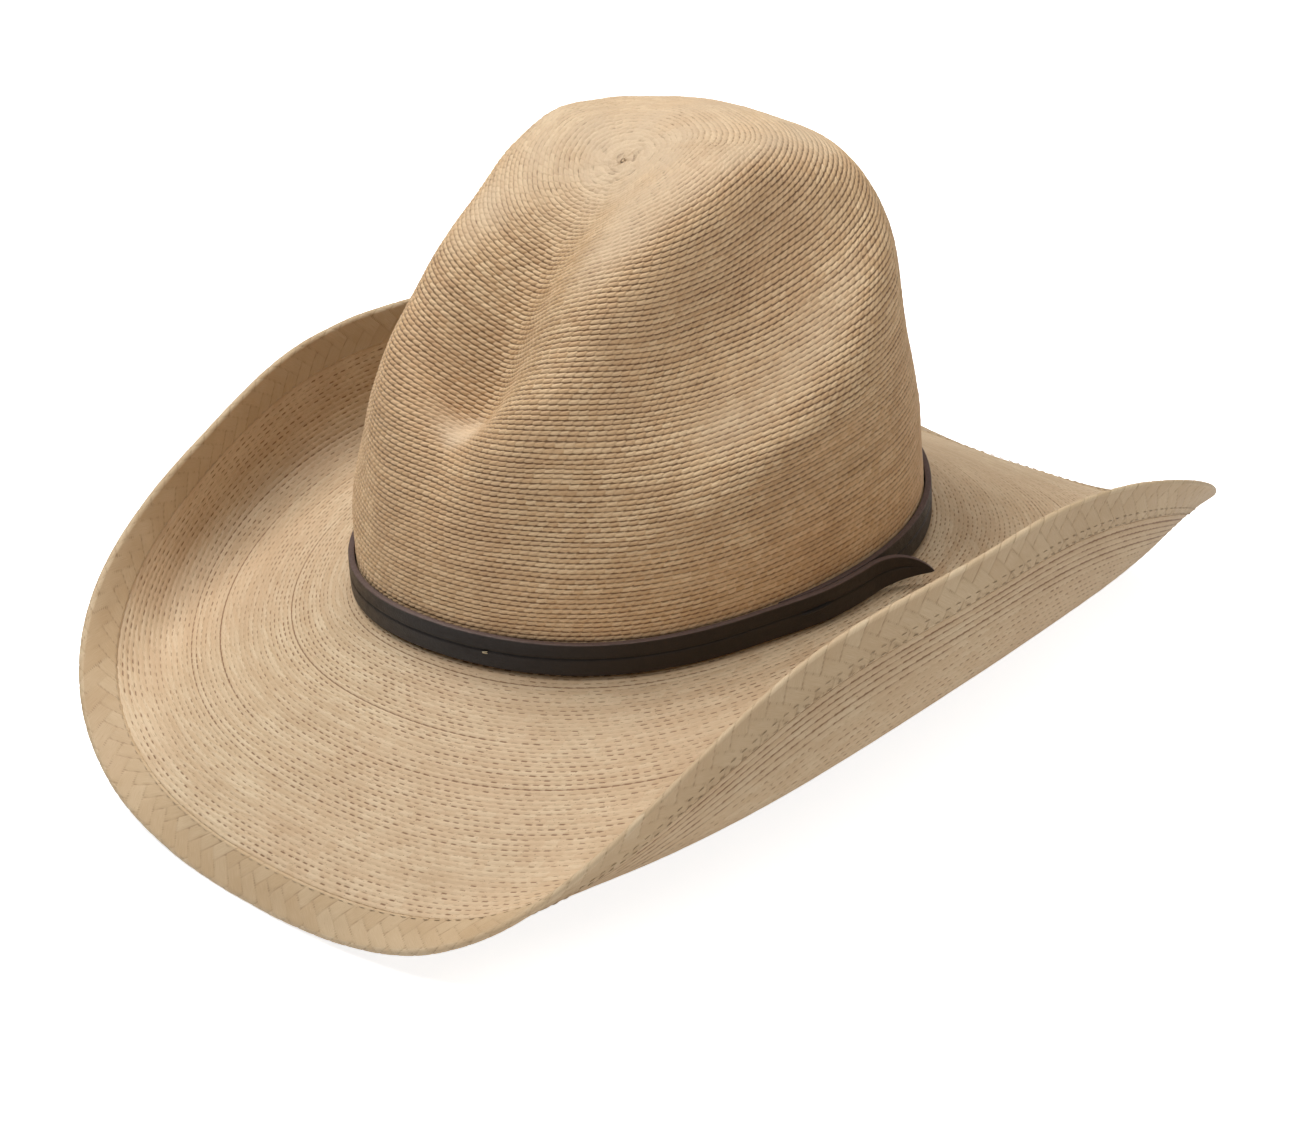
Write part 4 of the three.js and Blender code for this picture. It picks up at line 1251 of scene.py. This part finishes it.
DARK_THREAD = cloth("dark_thread", base=(204, 178, 142), dark=(164, 136, 102))


# ------------------------------------------------------------------ put it together
def dress(ob, material, body, slot_name, *nodes):
    """Gives a piece its material, the pieces it replaces and the body it rides; slot_name is not used.
    """
    ob.data.materials.append(material)
    if nodes:
        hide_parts(*nodes)
    if body:
        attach(ob, body)
    return ob


dress(crown(), STRAW_CROWN, "hat", "straw_crown", "crown_shell")
dress(brim(), STRAW_BRIM, "hat", "straw_brim", "brim")
dress(edge_braid(), STRAW_EDGE, "hat", "straw_edge", "brim_edge_braid")
dress(braid_sewing(), DARK_THREAD, "hat", "straw_edge")
dress(sweatband(), SWEAT, "hat", "sweat_leather", "sweatband")
dress(tape(), TAPE, "hat", "tape", "reed_tape")
dress(reed(), REED, "hat", "reed", "sweatband_reed")
seam_patch = on_band("seam_patch_leather", middle=math.pi, half=7.0, z0=4, z1=33,
                     back=-5.45, front=-6.05, counts=(24, 30), pillow=0.05)
dress(seam_patch, PATCH, "hat", "sweat_leather", "sweatband_seam_patch")
size_tag = on_band("size_tag_cloth", middle=math.pi + math.radians(30), half=9.0, z0=12, z1=24,
                   back=-5.42, front=-5.8, counts=(24, 14), pillow=0.04, wave=0.06)
dress(size_tag, TAG, "hat", "tag", "size_tag")
dress(bow(), RIBBON, "hat", "ribbon", "sweatband_bow")
dress(stitches(), THREAD, "hat", "thread", "sweatband_stitching")
dress(hatband_piece(), BAND, "hatband", "band_leather", "hatband_strap")
tail_piece = dress(hatband_piece(tail=True), BAND, None, "band_leather", "hatband_tail")
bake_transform(tail_piece)
dress(tack(), THREAD, "hatband", "thread", "hatband_tack")

# ------------------------------------------------------------------ floor and world
bpy.ops.mesh.primitive_plane_add(size=8, location=(0, 0, -0.0005))
floor = bpy.context.object
floor.name = "floor"
floor_paint = Paint("floor")
floor_paint.finish((248, 248, 248), rough=0.9, spec=0.0)
# the floor looks white to the camera without lighting the hat
seen = floor_paint.node("LightPath")["Is Camera Ray"]
floor_paint.shader.inputs["Emission Color"].default_value = (1, 1, 1, 1)
floor_paint.put(floor_paint.shader.inputs["Emission Strength"],
                floor_paint.math("MULTIPLY", seen, 0.82))
floor.data.materials.append(floor_paint.material)

WORLD_SEEN, WORLD_FILL = 0.87, 0.03    # added for the camera's rays; light given to the hat
world = bpy.data.worlds.new("studio")
world.use_nodes = True
nodes, links = world.node_tree.nodes, world.node_tree.links
background = nodes["Background"]
background.inputs[0].default_value = (1, 1, 1, 1)
ray = nodes.new("ShaderNodeLightPath")
wall = nodes.new("ShaderNodeMath")
wall.operation = "MULTIPLY_ADD"
wall.inputs[1].default_value = WORLD_SEEN
wall.inputs[2].default_value = WORLD_FILL
links.new(ray.outputs["Is Camera Ray"], wall.inputs[0])
links.new(wall.outputs[0], background.inputs[1])
scene.world = world

# ------------------------------------------------------------------ lights and camera
# the camera's axes and place
RIGHT = Vector((0.69940031, 0.71281195, -0.0523291))
UP = Vector((-0.28443812, 0.34475799, 0.8945596))
BACK = Vector((0.65569365, -0.61077087, 0.44387473))
EYE = Vector((0.83982, -0.78908, 0.63092))

LAMP_SIZE, LAMP_DISTANCE, LAMP_AIM_Z = 0.7, 1.8, 0.10                    # metres
# name, degrees round the hat from the camera (+ to its right), degrees above the floor, watts
LAMPS = [
    ("top_back", 150, 75, 9.9),
    ("key", -135, 60, 11.0),
    ("left_back", -110, 60, 5.3),
    ("left_front", -60, 60, 11.3),
    ("right_high", 45, 45, 4.8),
    ("right_low", 45, 15, 4.9),
]
for lamp_name, lamp_turn, lamp_rise, watts in LAMPS:
    around = math.atan2(BACK.x, -BACK.y) + math.radians(lamp_turn)
    above = math.radians(lamp_rise)
    towards = Vector((math.sin(around) * math.cos(above), -math.cos(around) * math.cos(above),
                      math.sin(above)))
    light = bpy.data.lights.new(lamp_name, "AREA")
    light.shape = "DISK"
    light.size = LAMP_SIZE
    light.energy = watts
    lamp = add_object(lamp_name, light)
    lamp.location = Vector((0, 0, LAMP_AIM_Z)) + towards * LAMP_DISTANCE
    lamp.rotation_mode = "QUATERNION"
    lamp.rotation_quaternion = towards.to_track_quat("Z", "Y")

camera_data = bpy.data.cameras.new("camera")
camera = add_object("camera", camera_data)
camera_data.sensor_width, camera_data.sensor_fit = 36.0, "HORIZONTAL"
camera_data.lens = 100.74
camera_data.shift_x, camera_data.shift_y = 0.00629, -0.02159
camera_data.clip_start, camera_data.clip_end = 0.05, 50
camera_matrix = Matrix((RIGHT, UP, BACK)).transposed().to_4x4()
camera_matrix.translation = EYE
camera.matrix_world = camera_matrix
scene.camera = camera
scene.view_settings.view_transform = "Standard"
